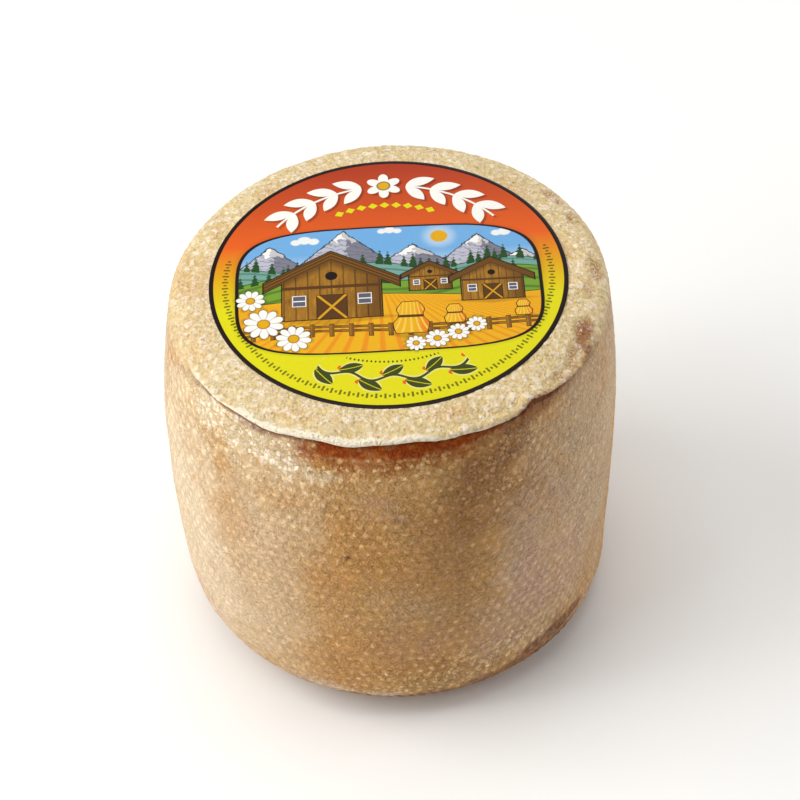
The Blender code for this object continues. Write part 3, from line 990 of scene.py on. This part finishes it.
def rind_material(rind):
    """The dry rind, with its marks, its pale tips and its crumbs."""
    material, start = new_material("rind")
    place = start.node("ShaderNodeTexCoord", {}, {}, "Object")
    uv = start.node("ShaderNodeUVMap", {"uv_map": "weave"}, {})
    fine = cloud(start, place, 2300.0, 2.0)
    speck = cloud(start, place, 1350.0, 2.0, 0.6)
    imprint = fine_imprint(start, place, uv, fine, speck)
    rise = value_of(start, "rise")
    ring = value_of(start, "ring")
    wall = 1.0 - ring
    broad = cloud(start, place, 38.0, 3.0, 0.55)
    patchy = cloud(start, place, 150.0, 3.0, 0.6)
    mottle = cloud(start, place, 620.0, 2.0, 0.6)
    inside, away, number = pebbles(start, place, 800.0)
    umber = value_of(start, "umber")
    cream = value_of(start, "cream")
    strong = 1.0 - cream * 0.45

    # The ground, its stains and the tones of its pebbles, with painted sheen in the haze and cream and
    # some painted shade in the umber and ochre
    colour = plain_colour(start, rind.tan).under(rind.haze, value_of(start, "haze") * 0.95)
    colour = (
        colour.under(rind.cream, cream * 0.87)
        .under(rind.ring, ring)
        .under(rind.cream, broad.ramp(0.52, 0.72) * 0.3)
    )
    hazy = value_of(start, "haze")
    blotches = broad.ramp(0.50, 0.30) * (wall * 0.3 + 0.06)
    colour = (
        colour.under(rind.ochre, blotches * (1.0 - hazy.most(cream) * 0.6))
        .under(rind.umber, umber * patchy.ramp(0.1, 0.5) * 0.8)
        .under(rind.ochre, value_of(start, "ochre") * patchy.ramp(0.25, 0.6) * 0.8)
        .under(rind.lilac, value_of(start, "lilac") * patchy.ramp(0.25, 0.55) * 0.7)
        .under(rind.lilac, mottle.ramp(0.56, 0.72) * 0.14)
        .under(rind.olive, mottle.ramp(0.44, 0.28) * 0.2)
        .under(rind.lilac, part_of(start, number, 0).ramp(0.72, 0.95) * 0.14)
        .under(rind.olive, part_of(start, number, 0).ramp(0.28, 0.05) * 0.16)
    )

    # The hollows, and the dry bloom over them
    colour = (
        colour.under(rind.hollow, imprint.ramp(0.5, 0.08) * wall * 0.12)
        .under(rind.hollow, rise.ramp(0.5, 0.05) * wall * strong * 0.3)
        .under(rind.gold, rise.ramp(0.55, 0.1) * ring * 0.55)
    )
    dust = value_of(start, "dust")
    colour = colour.under(rind.dust, dust * (mottle.ramp(0.3, 0.6) * 0.3 + 0.42))

    # The pale tips of the bumps, over the smear under the flash
    scattered = mottle.ramp(0.35, 0.62) * 0.8 + 0.2
    tips = imprint.ramp(0.6, 1.0) * rise.ramp(0.2, 0.85) * scattered
    crisp = value_of(start, "crisp")
    tips = tips * (dust * 0.2 + crisp * 0.2 + 0.45) * (1.0 - umber * 0.8) * wall
    chosen = part_of(start, number, 1)
    dot = away.ramp(0.62, 0.38)
    tips = tips + dot * chosen.ramp(0.3, 0.8) * dust * 0.95
    tips = tips + dot * chosen.ramp(0.5, 0.8) * crisp * (1.0 - umber * 0.7) * wall * 0.28
    tips = tips + rise.ramp(0.5, 0.85) * ring * 0.55
    rust = value_of(start, "rust")
    bare = 1.0 - rust.ramp(0.5, 0.95) * 0.92
    colour = (
        colour.under(rind.rust, rust)
        .under(rind.ochre, rust * mottle.ramp(0.48, 0.66) * 0.3)
        .under(rind.tip, tips * bare * (1.0 - dust) * wall)
        .under(rind.pale, tips * bare * dust.most(ring))
    )

    # Cracks and crumbs, painted light on the ring's right, and painted highlights on the fine grain's
    # crests
    crack = inside.ramp(0.16, 0.0) * patchy.ramp(0.3, 0.6)
    colour = (
        colour.times(0.52, crack * (wall * 0.32 + 0.28 + crisp * 0.25) * strong)
        .times(1.26, chosen.ramp(0.5, 1.0) * (wall * 0.3 + 0.35))
        # Painted light on the ring's right
        .times(1.1, value_of(start, "bleached") * ring)
        .times(0.52, speck.ramp(0.46, 0.26) * strong * 0.9)
        # Painted highlights on the crests of the fine grain, lighter and a little paler
        .times(1.28, speck.ramp(0.56, 0.76) * wall * bare * 0.75)
        .under(rind.pale, speck.ramp(0.56, 0.76) * wall * bare * 0.16)
        .under(rind.pale, speck.ramp(0.56, 0.74) * ring * 0.5)
    )

    # Slanted streaks with painted highlight and shade, pits, the flash, and painted shade in the crease
    # under it
    lines = slanted_lines(start, uv) + (fine - 0.5) * 0.3
    streaks = value_of(start, "streaks")
    colour = (
        # Painted highlight and shade along the slanted streaks, with a greyer tint in the lighter lines
        colour.times(1.14, lines.ramp(0.51, 0.62) * streaks)
        .under(rind.haze, lines.ramp(0.51, 0.62) * streaks * 0.35)
        .times(0.88, lines.ramp(0.45, 0.36) * streaks)
        .under(rind.pit, value_of(start, "pits") * fine.ramp(0.65, 0.4) * 0.8)
        .under(rind.lip, value_of(start, "lip") * speck.ramp(0.2, 0.5) * 0.9)
        # Painted shade in the crease under the flash
        .under(rind.crease, value_of(start, "groove") * (1.0 - rust) * 0.75)
    )

    # Dark moist stains and the moist foot ring, both with painted shade: under the rim's right, in the
    # crease, and where the foot turns under
    stain = value_of(start, "stain")
    moist = stain.ramp(0.1, 0.9) * (mottle.ramp(0.62, 0.38) * 0.45 + 0.35)
    colour = (
        colour.under(rind.umber, moist)
        .under(rind.rust, stain * speck.ramp(0.5, 0.64) * 0.45)
        .times(0.7, stain.ramp(0.75, 1.0))
        .under(rind.pale, stain * fine.ramp(0.62, 0.75) * 0.3)
    )
    foot = value_of(start, "foot")
    colour = colour.under(rind.foot, foot * mottle.ramp(0.65, 0.4) * 0.85)
    # Painted shade, darker still where the foot's ring meets the dark patches low on the right
    colour = colour.times(0.6, foot * stain)

    roughness = rind.roughness + rust * 0.2 + (fine - 0.5) * 0.2
    relief = fine * 0.5 + speck * 1.0 + mottle * 1.2 + inside.ramp(0.0, 0.35) * 0.4
    relief = relief + lines * streaks * 1.2
    sockets = {"Strength": 0.8, "Distance": 0.00035, "Height": relief}
    normal = start.node("ShaderNodeBump", {}, sockets)
    finish_material(start, colour, roughness, {"Specular IOR Level": 0.18}, normal)
    return material


# ---------------------------------------------------------------- the printed picture

INK_EDGE = 0.06
OVAL_OUTLINE = 0.5
GARLAND_RADIUS = 31.9
GARLAND_PITCH = 6.0
GARLAND_START = 8.3
BEAD_RADIUS = 25.0
BEAD_PITCH = 2.75
VINE_RADIUS = 31.9
VINE_PITCH = 5.0
TICK_RADIUS = 37.3
TICK_REACH_DEG = 104.0
DOT_RADIUS = 27.0
DOT_PITCH = 0.95
DOT_REACH_DEG = 22.2
FENCE_PITCH = 4.4

# The picture's motifs: where each stands on the label, and its size
OVAL = (0.0, -3.2, 34.2, 20.2)
SUN = (12.2, 15.4, 2.0)
CLOUDS = (
    (-21.0, 15.6, 1.2), (-19.0, 16.2, 1.6), (-16.9, 15.7, 1.3), (25.5, 15.6, 1.2),
    (27.3, 15.9, 1.5), (-1.0, 18.0, 1.0), (0.8, 18.3, 1.3), (2.6, 17.9, 1.0),
)
PEAKS = (
    (-27.0, 14.5, 1.0), (21.0, 15.5, 1.0), (6.0, 13.0, 0.8), (-10.0, 18.5, 1.05), (31.0, 10.0, 0.9),
)
BARNS = ((9.5, -4.6, 0.95), (23.5, -8.6, 1.4), (-13.0, -12.4, 2.25))
SHEAVES = ((14.5, -13.6, 1.1), (30.0, -12.5, 0.9), (4.6, -14.8, 1.9))
DAISIES = (
    (-28.5, -13.0, 4.6, 10.0), (-21.8, -18.2, 4.0, 35.0), (-31.5, -5.2, 3.3, 50.0),
    (10.2, -20.4, 2.7, 0.0), (15.0, -18.6, 2.5, 20.0), (19.2, -16.4, 2.3, 40.0),
    (5.4, -21.6, 2.3, 5.0),
)


def ink(depth, soft=INK_EDGE):
    """A printed area's mask from the depth inside its outline."""
    return depth.ramp(-soft, soft)


def turned(x, y, degrees):
    """A place as seen from axes that are turned by this angle."""
    cosine, sine = math.cos(math.radians(degrees)), math.sin(math.radians(degrees))
    return x * cosine + y * sine, y * cosine - x * sine


def length_of(x, y):
    """Distance from the middle."""
    square = x * x + y * y
    return square.maths("SQRT", square)


def polar(x, y):
    """Distance from the middle, and the angle from the top, clockwise."""
    return length_of(x, y), x.maths("ARCTAN2", x, y)


def cell(value, pitch):
    """Which cell of a row this is, and the place across that cell from its middle."""
    number = value.maths("ROUND", value / pitch)
    return number, value - number * pitch


def either(total, more):
    """Depth in either of two shapes. There is no total yet before the first."""
    return more if total is None else total.most(more)


def leaf(x, y, half_length, half_width):
    """Depth in a pointed leaf along x."""
    along = x / half_length
    return (1.0 - along * along) * half_width - abs(y)


def ground_print(start, y, label):
    """The ground: red at the top, through orange and gold to lime."""
    stops = (
        (0.08, label.lime),
        (0.40, label.lime),
        (0.53, label.gold),
        (0.66, label.orange),
        (0.82, mix(np.array(label.orange), np.array(label.red), 0.55)),
        (0.97, label.red),
    )
    share = (y + LABEL_RADIUS / MM) / (2.0 * LABEL_RADIUS / MM)
    return start.node("ShaderNodeValToRGB", {"stops": stops}, {0: share}, "Color")


def garland(x, y):
    """Depth in a garland of slanted leaf pairs along the upper rim, with a blossom in the middle."""
    radius, angle = polar(x, y)
    side = abs(angle) * GARLAND_RADIUS
    _, across = cell(side - GARLAND_START, GARLAND_PITCH)
    up = radius - GARLAND_RADIUS
    pairs = None
    for sign in (1.0, -1.0):
        turned_x, turned_y = turned(across + 0.2, up * sign - 2.1, 33.0)
        pairs = either(pairs, leaf(turned_x, turned_y, 3.5, 1.45))
    pairs = pairs.most(0.28 - abs(up))
    pairs = pairs.least(GARLAND_START + 3.5 * GARLAND_PITCH - side)
    pairs = pairs.least(side - GARLAND_START + 0.5 * GARLAND_PITCH)
    blossom_radius, blossom_angle = polar(x, y - GARLAND_RADIUS)
    petals = abs((blossom_angle * 3.0).cosine()) * 2.0 + 2.3
    return pairs.most(petals - blossom_radius)


def print_garland(colour, x, y, label):
    """The garland over its soft shadow, and the heart of its blossom."""
    shade = ink(garland(x - 0.55, y + 0.65), 0.35)
    colour = colour.times(0.42, shade * 0.8)
    colour = colour.under(label.white, ink(garland(x, y)))
    middle = length_of(x, y - GARLAND_RADIUS)
    colour = colour.under(label.gold, ink(1.5 - middle))
    return colour.under(label.border, ink(0.18 - abs(middle - 1.5)) * 0.7)


def print_beads(colour, x, y, label):
    """A row of small yellow rhombs under the garland."""
    radius, angle = polar(x, y)
    _, across = cell(angle * BEAD_RADIUS, BEAD_PITCH)
    rhomb = 1.2 - abs(across) - abs(radius - BEAD_RADIUS) * 1.2
    reach = 4.5 * BEAD_PITCH - abs(angle) * BEAD_RADIUS
    return colour.under(label.lime, ink(rhomb.least(reach)))


def print_vine(colour, x, y, label):
    """A dark vine with leaves on both sides, along the bottom."""
    radius, angle = polar(x, -y)
    along = angle * VINE_RADIUS
    number, across = cell(along, VINE_PITCH)
    swing = (along * (math.pi / VINE_PITCH)).cosine()
    up = radius - VINE_RADIUS + swing * 0.9
    stem = 0.36 - abs(up)
    odd = (number * math.pi).cosine()
    turned_x, turned_y = turned(across, (radius - VINE_RADIUS) * odd + 2.2, -28.0)
    leaves = leaf(turned_x, turned_y, 3.1, 1.5)
    vein = 0.11 - abs(turned_y)
    reach = 3.5 * VINE_PITCH - abs(along)
    whole = stem.most(leaves).least(reach)
    colour = (
        colour.under(label.white, ink((whole + 0.3).least(reach), 0.3) * 0.35)
        .under(label.olive, ink(whole))
        .under(label.lime, ink(vein.least(leaves - 0.25).least(reach)) * 0.8)
    )
    berry_x, berry_y = across - 2.4, (radius - VINE_RADIUS) * odd - 1.6
    berry_radius = length_of(berry_x, berry_y)
    return colour.under(label.orange, ink((0.62 - berry_radius).least(reach)))


def print_ticks(colour, x, y, label):
    """A ring of fine dots and dashes inside the border, round the lower half."""
    radius, angle = polar(x, -y)
    number, across = cell(angle * TICK_RADIUS, 1.0)
    odd = (number * math.pi).cosine() * 0.2
    dash = (0.24 - abs(across)).least(0.55 + odd - abs(radius - TICK_RADIUS))
    reach = (math.radians(TICK_REACH_DEG) - abs(angle)) * TICK_RADIUS
    colour = colour.under(label.olive, ink(dash.least(reach)) * 0.85)
    _, across = cell(angle * DOT_RADIUS, DOT_PITCH)
    dot = 0.26 - abs(across) - abs(radius - DOT_RADIUS) * 0.6
    reach = (math.radians(DOT_REACH_DEG) - abs(angle)) * DOT_RADIUS
    return colour.under(label.olive, ink(dot.least(reach)))


def print_sky(start, x, y, label):
    """The sky, hazy near the peaks, with a sun and a few clouds."""
    stops = ((0.0, label.haze), (0.45, label.sky), (1.0, label.sky))
    colour = start.node("ShaderNodeValToRGB", {"stops": stops}, {0: (y - 3.0) / 18.0}, "Color")
    sun_x, sun_y, sun_radius = SUN
    away = length_of(x - sun_x, y - sun_y)
    colour = colour.under(label.haze, away.ramp(5.0, 2.0) * 0.6)
    colour = colour.under(label.gold, ink(sun_radius - away, 0.15))
    puffs = None
    for puff_x, puff_y, size in CLOUDS:
        puffs = either(puffs, size - length_of(x - puff_x, (y - puff_y) * 1.25))
    return colour.under(label.white, ink(puffs, 0.25) * 0.9)


def print_peaks(colour, start, x, y, label):
    """The peaks, each with a lit and a shaded side, strata, a snow cap and an outline."""
    jag = cloud(start, flat_place(start, x, y), 0.55, 3.0, 0.6) - 0.5
    strata = ((y + x * 0.25 + jag * 4.0) * 4.5).cosine().ramp(0.2, 0.95) * 0.5
    for peak_x, peak_height, slope in PEAKS:
        away = x - peak_x
        depth = (peak_height - y - abs(away) * slope + jag * 2.2) / math.hypot(1.0, slope)
        shaded = ink(away + jag * 5.0 - (peak_height - y) * 0.12, 0.15)
        rock = plain_colour(start, label.rock)
        rock = rock.under(label.rock_shade, strata)
        rock = rock.under(label.rock_shade, shaded * 0.75)
        snow = ink((y - peak_height) + 3.0 + jag * 7.0, 0.2)
        rock = rock.under(label.white, snow * (1.0 - shaded * 0.5))
        colour = colour.under(label.border, ink(depth + 0.2) * 0.9)
        colour = colour.under(rock, ink(depth - 0.1))
    return colour


def hill_line(x, height, swell, length, shift):
    """Height of a hill's edge above each place."""
    return (x * (2.0 * math.pi / length) + shift).cosine() * swell + height


def print_hill(colour, x, y, label, line, lit, furrows):
    """A hill under this line, with darker furrows that follow its edge."""
    depth = line - y
    colour = colour.under(label.forest, ink(depth + 0.14))
    colour = colour.under(lit, ink(depth - 0.10))
    stripes = (depth * furrows + x * 0.12).cosine().ramp(0.35, 0.95)
    return colour.under(label.forest, stripes * ink(depth - 0.7, 0.5) * 0.5)


def print_firs(colour, x, y, label, line_height, pitch, seed):
    """A row of firs of uneven height, with gaps."""
    number, across = cell(x, pitch)
    chance = x.node("ShaderNodeTexWhiteNoise", {"noise_dimensions": "1D"}, {"W": number + seed})
    up = y - line_height
    branch = up.maths("FRACT", up * 0.85) * 0.42
    depth = ((chance * 3.2 + 2.2) - up) * 0.26 - branch - abs(across - (chance - 0.5) * 0.5)
    depth = depth.least(up + 0.6).least((chance - 0.28) * 20.0)
    return colour.under(label.forest, ink(depth))


def print_barn(colour, x, y, label, grain, barn):
    """A wooden barn with a wide roof, a braced door, two windows and a round loft opening."""
    middle, base, size = barn
    x, y = (x - middle) / size, (y - base) / size
    slant = y + abs(x) * 0.62
    body = (5.0 - abs(x)).least(y).least(8.8 - slant)
    roof = (9.9 - slant).least(slant - 8.5).least(6.9 - abs(x))
    ground = 1.0 - abs(x) * 0.14 - abs(y + 0.1) * 1.1
    colour = (
        colour.times(0.5, ink(ground * size, 0.5) * 0.6)
        .under(label.border, ink(body.most(roof) * size + 0.28))
        .under(label.timber, ink(body * size))
        .under(label.field, grain.ramp(0.5, 0.8) * ink(body * size) * 0.45)
    )
    shade = x.ramp(0.5, 5.0).most(slant.ramp(7.2, 8.6)).most(grain.ramp(0.5, 0.2))
    colour = colour.under(label.timber_dark, shade * ink(body * size) * 0.75)
    planks = (x * 5.2).cosine().ramp(0.86, 0.97) * ink(body * size)
    colour = colour.under(label.border, planks * 0.55)
    beam = (0.22 - abs(y - 4.6)).least(body)
    colour = colour.under(label.timber_dark, ink(beam * size))
    door = (1.5 - abs(x)).least(y).least(3.4 - y)
    colour = colour.under(label.border, ink(door * size + 0.16))
    colour = colour.under(label.timber_dark, ink(door * size))
    brace = (0.17 - abs(abs(x) - abs(y - 1.7) * 0.85)).least(door)
    colour = colour.under(label.field, ink(brace * size) * 0.8)
    window = (0.62 - abs(abs(x) - 3.3)).least(0.7 - abs(y - 2.7))
    colour = (
        colour.under(label.white, ink(window * size + 0.2))
        .under(label.rock_shade, ink(window * size))
        .under(label.white, ink((0.07 - abs(y - 2.7)).least(window) * size))
    )
    loft = 0.62 - length_of(x, y - 6.2)
    colour = colour.under(label.border, ink(loft * size))
    colour = colour.under(label.timber_dark, ink(roof * size))
    shingles = (slant * 14.0).cosine().ramp(0.1, 0.9) * ink(roof * size - 0.1)
    return colour.under(label.timber, shingles * 0.55)


def print_sheaf(colour, x, y, label, sheaf):
    """A sheaf of straw that stands on its ends, tied round the middle."""
    middle, base, size = sheaf
    x, y = (x - middle) / size, (y - base) / size
    shape = (2.1 - abs(x) - y * y * 0.10).least(y + 1.8).least(3.4 - y)
    shape = shape + abs(y - 1.0).ramp(0.15, 1.3) * 0.55 - 0.55
    colour = (
        colour.times(0.5, ink((1.0 - abs(x) * 0.36 - abs(y + 1.9) * 0.8) * size, 0.4) * 0.6)
        .under(label.border, ink(shape * size + 0.2))
        .under(label.field, ink(shape * size))
        .under(label.orange, x.ramp(0.1, 1.9) * ink(shape * size) * 0.7)
    )
    straw = (x * 9.0 + y * x * 2.0).cosine().ramp(0.1, 0.9) * ink(shape * size - 0.1)
    colour = colour.under(label.straw, straw * 0.85)
    return colour.under(label.timber_dark, ink((0.22 - abs(y - 1.0)).least(shape) * size))


def print_field(colour, x, y, label, line):
    """A ripe field with rows that run together in the distance."""
    depth = line - y
    colour = colour.under(label.border, ink(depth + 0.14) * 0.7)
    colour = colour.under(label.field, ink(depth - 0.12))
    spread = (x + 2.0) / (depth + 5.0)
    rows = (spread * 34.0).cosine().ramp(0.2, 0.9)
    return colour.under(label.orange, rows * ink(depth - 0.5, 0.4) * 0.45)


def print_fence(colour, x, y, label, line):
    """A plank fence along the front of the field."""
    up = y - line
    _, across = cell(x, FENCE_PITCH)
    posts = (0.42 - abs(across)).least(up + 1.2).least(2.6 - up)
    rails = (0.27 - abs(up - 0.5)).most(0.27 - abs(up - 1.8))
    fence = posts.most(rails)
    return (
        colour.under(label.border, ink(fence + 0.14))
        .under(label.timber, ink(fence))
        .under(label.timber_dark, ink(fence.least(across * 0.9 + 0.05)) * 0.5)
    )


def print_daisies(colour, x, y, label):
    """White blossoms with yellow hearts over the picture's lower edge."""
    petals, hearts, ribs = None, None, None
    for daisy_x, daisy_y, size, turn in DAISIES:
        radius, angle = polar(x - daisy_x, y - daisy_y)
        lobes = abs((angle * 5.0 + math.radians(turn)).cosine())
        depth = (lobes.maths("POWER", lobes, 0.6) * 0.36 + 0.64) * size - radius
        heart = 0.30 * size - radius
        rib = (0.26 - lobes).least(depth)
        petals = either(petals, depth)
        hearts = either(hearts, heart)
        ribs = either(ribs, rib)
    return (
        colour.times(0.4, ink(petals + 0.7, 0.45) * 0.45)
        .under(label.olive, ink(petals + 0.18))
        .under(label.white, ink(petals))
        .under(label.rock, ink(ribs, 0.12) * 0.8)
        .under(label.timber, ink(hearts + 0.15))
        .under(label.gold, ink(hearts - 0.1, 0.2))
    )


def landscape(start, x, y, label):
    """The picture in the oval: peaks, hills with firs, barns, and a field with sheaves."""
    colour = print_sky(start, x, y + 2.2, label)
    colour = print_peaks(colour, start, x, y + 2.2, label)
    far = hill_line(x, 4.0, 1.3, 31.0, 0.8)
    distant = mix(np.array(label.meadow), np.array(label.sky), 0.4)
    colour = print_hill(colour, x, y, label, far, distant, 3.1)
    colour = print_firs(colour, x, y, label, far, 1.9, 3.0)
    near = hill_line(x, 0.6, 1.8, 46.0, 2.6)
    colour = print_hill(colour, x, y, label, near, label.meadow, 2.1)
    colour = print_firs(colour, x + 0.9, y + 0.4, label, near, 3.3, 17.0)
    grain = cloud(start, flat_place(start, x * 1.4, y * 0.22), 1.0, 3.0, 0.6)
    colour = print_barn(colour, x, y, label, grain, BARNS[0])
    front = hill_line(x, -6.0, 0.9, 60.0, 0.6)
    colour = print_field(colour, x, y, label, front)
    for barn in BARNS[1:]:
        colour = print_barn(colour, x, y, label, grain, barn)
    colour = print_fence(colour, x, y, label, hill_line(x, -17.2, 0.5, 52.0, 2.2))
    for sheaf in SHEAVES:
        colour = print_sheaf(colour, x, y, label, sheaf)
    return colour


def label_material(label):
    """Coated paper with its print."""
    material, start = new_material("printed_paper")
    place = start.node("ShaderNodeTexCoord", {}, {}, "Object")
    x = (axis_of(start, place, 0) - AXIS_X) / MM
    y = axis_of(start, place, 1) / MM

    colour = ground_print(start, y, label)
    colour = print_garland(colour, x, y, label)
    colour = print_beads(colour, x, y, label)
    colour = print_vine(colour, x, y, label)
    colour = print_ticks(colour, x, y, label)
    oval_x, oval_y, half_width, half_height = OVAL
    across, up = (x - oval_x) / half_width, (y - oval_y) / half_height
    oval = length_of(across * abs(across), up * abs(up))
    depth = (1.0 - oval) * (0.5 * half_height)
    colour = (
        colour.times(0.5, ink(depth + 0.9, 0.6) * 0.35)
        .under(label.border, ink(depth + OVAL_OUTLINE))
        .under(landscape(start, x, y, label), ink(depth))
    )
    colour = print_daisies(colour, x, y, label)
    radius = length_of(x, y)
    border = radius - (LABEL_RADIUS - label.border_width) / MM
    colour = colour.under(label.border, ink(border))

    fibre = cloud(start, place, 2600.0, 2.0)
    colour = colour.times(0.93, fibre.ramp(0.4, 0.65) * 0.5)
    roughness = label.roughness + (fibre - 0.5) * 0.12
    sockets = {"Strength": 0.15, "Distance": 0.00005, "Height": fibre}
    normal = start.node("ShaderNodeBump", {}, sockets)
    finish_material(start, colour, roughness, {"Specular IOR Level": 0.18}, normal)
    return material


# ---------------------------------------------------------------- stage

# The camera: degrees, metres from its aim over the middle of the label, and millimetres of lens
CAMERA_AIM_HEIGHT = 0.09726
CAMERA_ELEVATION = 43.152
CAMERA_DISTANCE = 0.54819
CAMERA_PAN = -0.122
CAMERA_TILT = -2.912
CAMERA_ROLL = 3.068
CAMERA_LENS = 108.0
CAMERA_SENSOR = 36.0

# The soft boxes: azimuth and elevation in degrees, distance and side in metres, and colour
LIGHT_AIM = (0.0, 0.0, 0.05)
LIGHTS = {
    "key": (-90.0, 45.0, 0.75, 0.45, (1.0, 0.99, 0.96)),
    "front": (-66.0, 25.0, 0.75, 0.45, (1.0, 0.99, 0.96)),
    "overhead": (180.0, 85.0, 0.8, 0.6, (1.0, 0.99, 0.97)),
    "back": (165.0, 18.0, 0.8, 0.5, (1.0, 0.99, 0.97)),
    "fill": (100.0, 10.0, 0.7, 0.4, (1.0, 1.0, 1.0)),
}


def direction(azimuth, elevation):
    """The unit vector from the drum to this azimuth and elevation, in degrees."""
    turn, rise = math.radians(azimuth), math.radians(elevation)
    flat = math.cos(rise)
    return Vector((math.sin(turn) * flat, -math.cos(turn) * flat, math.sin(rise)))


def make_light(name, power):
    """A square soft box that faces the drum's middle."""
    azimuth, elevation, distance, size, colour = LIGHTS[name]
    data = bpy.data.lights.new(name, "AREA")
    data.size = size
    data.energy = power
    data.color = colour
    light = bpy.data.objects.new(name, data)
    towards = direction(azimuth, elevation)
    light.location = Vector(LIGHT_AIM) + towards * distance
    light.rotation_mode = "QUATERNION"
    light.rotation_quaternion = towards.to_track_quat("Z", "Y")
    bpy.context.scene.collection.objects.link(light)


def make_floor(stage):
    half = 0.5 * stage.floor_size
    corners = [(-half, -half, 0.0), (half, -half, 0.0), (half, half, 0.0), (-half, half, 0.0)]
    mesh = bpy.data.meshes.new("floor")
    mesh.from_pydata(corners, [], [(0, 1, 2, 3)])
    floor = bpy.data.objects.new("floor", mesh)
    material, start = new_material("floor")
    finish_material(start, (*stage.floor, 1.0), 0.9, {"Specular IOR Level": 0.1})
    mesh.materials.append(material)
    bpy.context.scene.collection.objects.link(floor)


def make_world(stage):
    """A plain pale room."""
    world = bpy.data.worlds.new("room")
    world.use_nodes = True
    world.node_tree.nodes.clear()
    start = Field(world.node_tree)
    light = start.node("ShaderNodeBackground", {}, {"Strength": stage.ambient})
    start.node("ShaderNodeOutputWorld", {}, {"Surface": light})
    bpy.context.scene.world = world


def make_camera():
    data = bpy.data.cameras.new("camera")
    data.lens = CAMERA_LENS
    data.sensor_width = CAMERA_SENSOR
    data.clip_start = 0.01
    camera = bpy.data.objects.new("camera", data)
    aim = Vector((AXIS_X, 0.0, CAMERA_AIM_HEIGHT))
    turn = Matrix.Rotation(math.radians(90.0 - CAMERA_ELEVATION), 4, "X")
    turn = turn @ Matrix.Rotation(math.radians(CAMERA_PAN), 4, "Y")
    turn = turn @ Matrix.Rotation(math.radians(CAMERA_TILT), 4, "X")
    turn = turn @ Matrix.Rotation(math.radians(-CAMERA_ROLL), 4, "Z")
    eye = aim + direction(0.0, CAMERA_ELEVATION) * CAMERA_DISTANCE
    camera.matrix_world = Matrix.Translation(eye) @ turn
    bpy.context.scene.collection.objects.link(camera)
    bpy.context.scene.camera = camera


# ---------------------------------------------------------------- operators


def rind_piece(piece, material):
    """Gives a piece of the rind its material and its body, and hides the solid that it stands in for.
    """
    piece.data.materials.append(material)
    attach(piece, "root")
    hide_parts("cheese_wheel")


class CHEESE_OT_rind_side(Operator):
    """Build the cloth-pressed wall, from the ring that it stands on up to the crease"""

    bl_idname = "cheese.rind_side"
    bl_label = "Rind Side"

    def execute(self, context):
        rind = context.scene.cheese_rind
        rind_piece(make_rind_side(rind), rind_material(rind))
        return {"FINISHED"}


class CHEESE_OT_rind_top(Operator):
    """Build the dry top with its flash and crumbled rim"""

    bl_idname = "cheese.rind_top"
    bl_label = "Rind Top"

    def execute(self, context):
        rind = context.scene.cheese_rind
        rind_piece(make_rind_top(rind), rind_material(rind))
        return {"FINISHED"}


class CHEESE_OT_rind_base(Operator):
    """Build the flat underside"""

    bl_idname = "cheese.rind_base"
    bl_label = "Rind Base"

    def execute(self, context):
        rind = context.scene.cheese_rind
        rind_piece(make_rind_base(rind), rind_material(rind))
        return {"FINISHED"}


class CHEESE_OT_label(Operator):
    """Build the round paper label with its printed picture"""

    bl_idname = "cheese.label"
    bl_label = "Paper Label"

    def execute(self, context):
        label = context.scene.cheese_label
        piece = make_label(label)
        piece.data.materials.append(label_material(label))
        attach(piece, "root")
        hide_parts("paper_label")
        return {"FINISHED"}


class CHEESE_OT_stage(Operator):
    """Build the floor, the soft lights, the pale room and the camera"""

    bl_idname = "cheese.stage"
    bl_label = "Stage"

    def execute(self, context):
        stage = context.scene.cheese_stage
        context.scene.view_settings.view_transform = "Standard"
        make_floor(stage)
        make_world(stage)
        for name in LIGHTS:
            make_light(name, getattr(stage, f"{name}_power"))
        make_camera()
        return {"FINISHED"}


class CHEESE_PT_panel(Panel):
    """The sidebar panel with the steps of the build"""

    bl_idname = "CHEESE_PT_panel"
    bl_label = "Drum Cheese"
    bl_space_type = "VIEW_3D"
    bl_region_type = "UI"
    bl_category = "Cheese"

    def draw(self, context):
        for step in STEPS:
            self.layout.operator(step.bl_idname)
        for name in SETTINGS:
            group = getattr(context.scene, name)
            box = self.layout.box()
            for key in type(group).__annotations__:
                box.prop(group, key)


STEPS = (
    CHEESE_OT_stage,
    CHEESE_OT_rind_side,
    CHEESE_OT_rind_top,
    CHEESE_OT_rind_base,
    CHEESE_OT_label,
)
SETTINGS = {
    "cheese_rind": RindSettings,
    "cheese_label": LabelSettings,
    "cheese_stage": StageSettings,
}


def register():
    for kind in (*SETTINGS.values(), *STEPS, CHEESE_PT_panel):
        bpy.utils.register_class(kind)
    for name, group in SETTINGS.items():
        setattr(bpy.types.Scene, name, PointerProperty(type=group))


def unregister():
    for name in SETTINGS:
        delattr(bpy.types.Scene, name)
    for kind in reversed((*SETTINGS.values(), *STEPS, CHEESE_PT_panel)):
        bpy.utils.unregister_class(kind)


def main():
    register()
    bpy.ops.cheese.stage()
    bpy.ops.cheese.rind_side()
    bpy.ops.cheese.rind_top()
    bpy.ops.cheese.rind_base()
    bpy.ops.cheese.label()


if __name__ == "__main__":
    main()
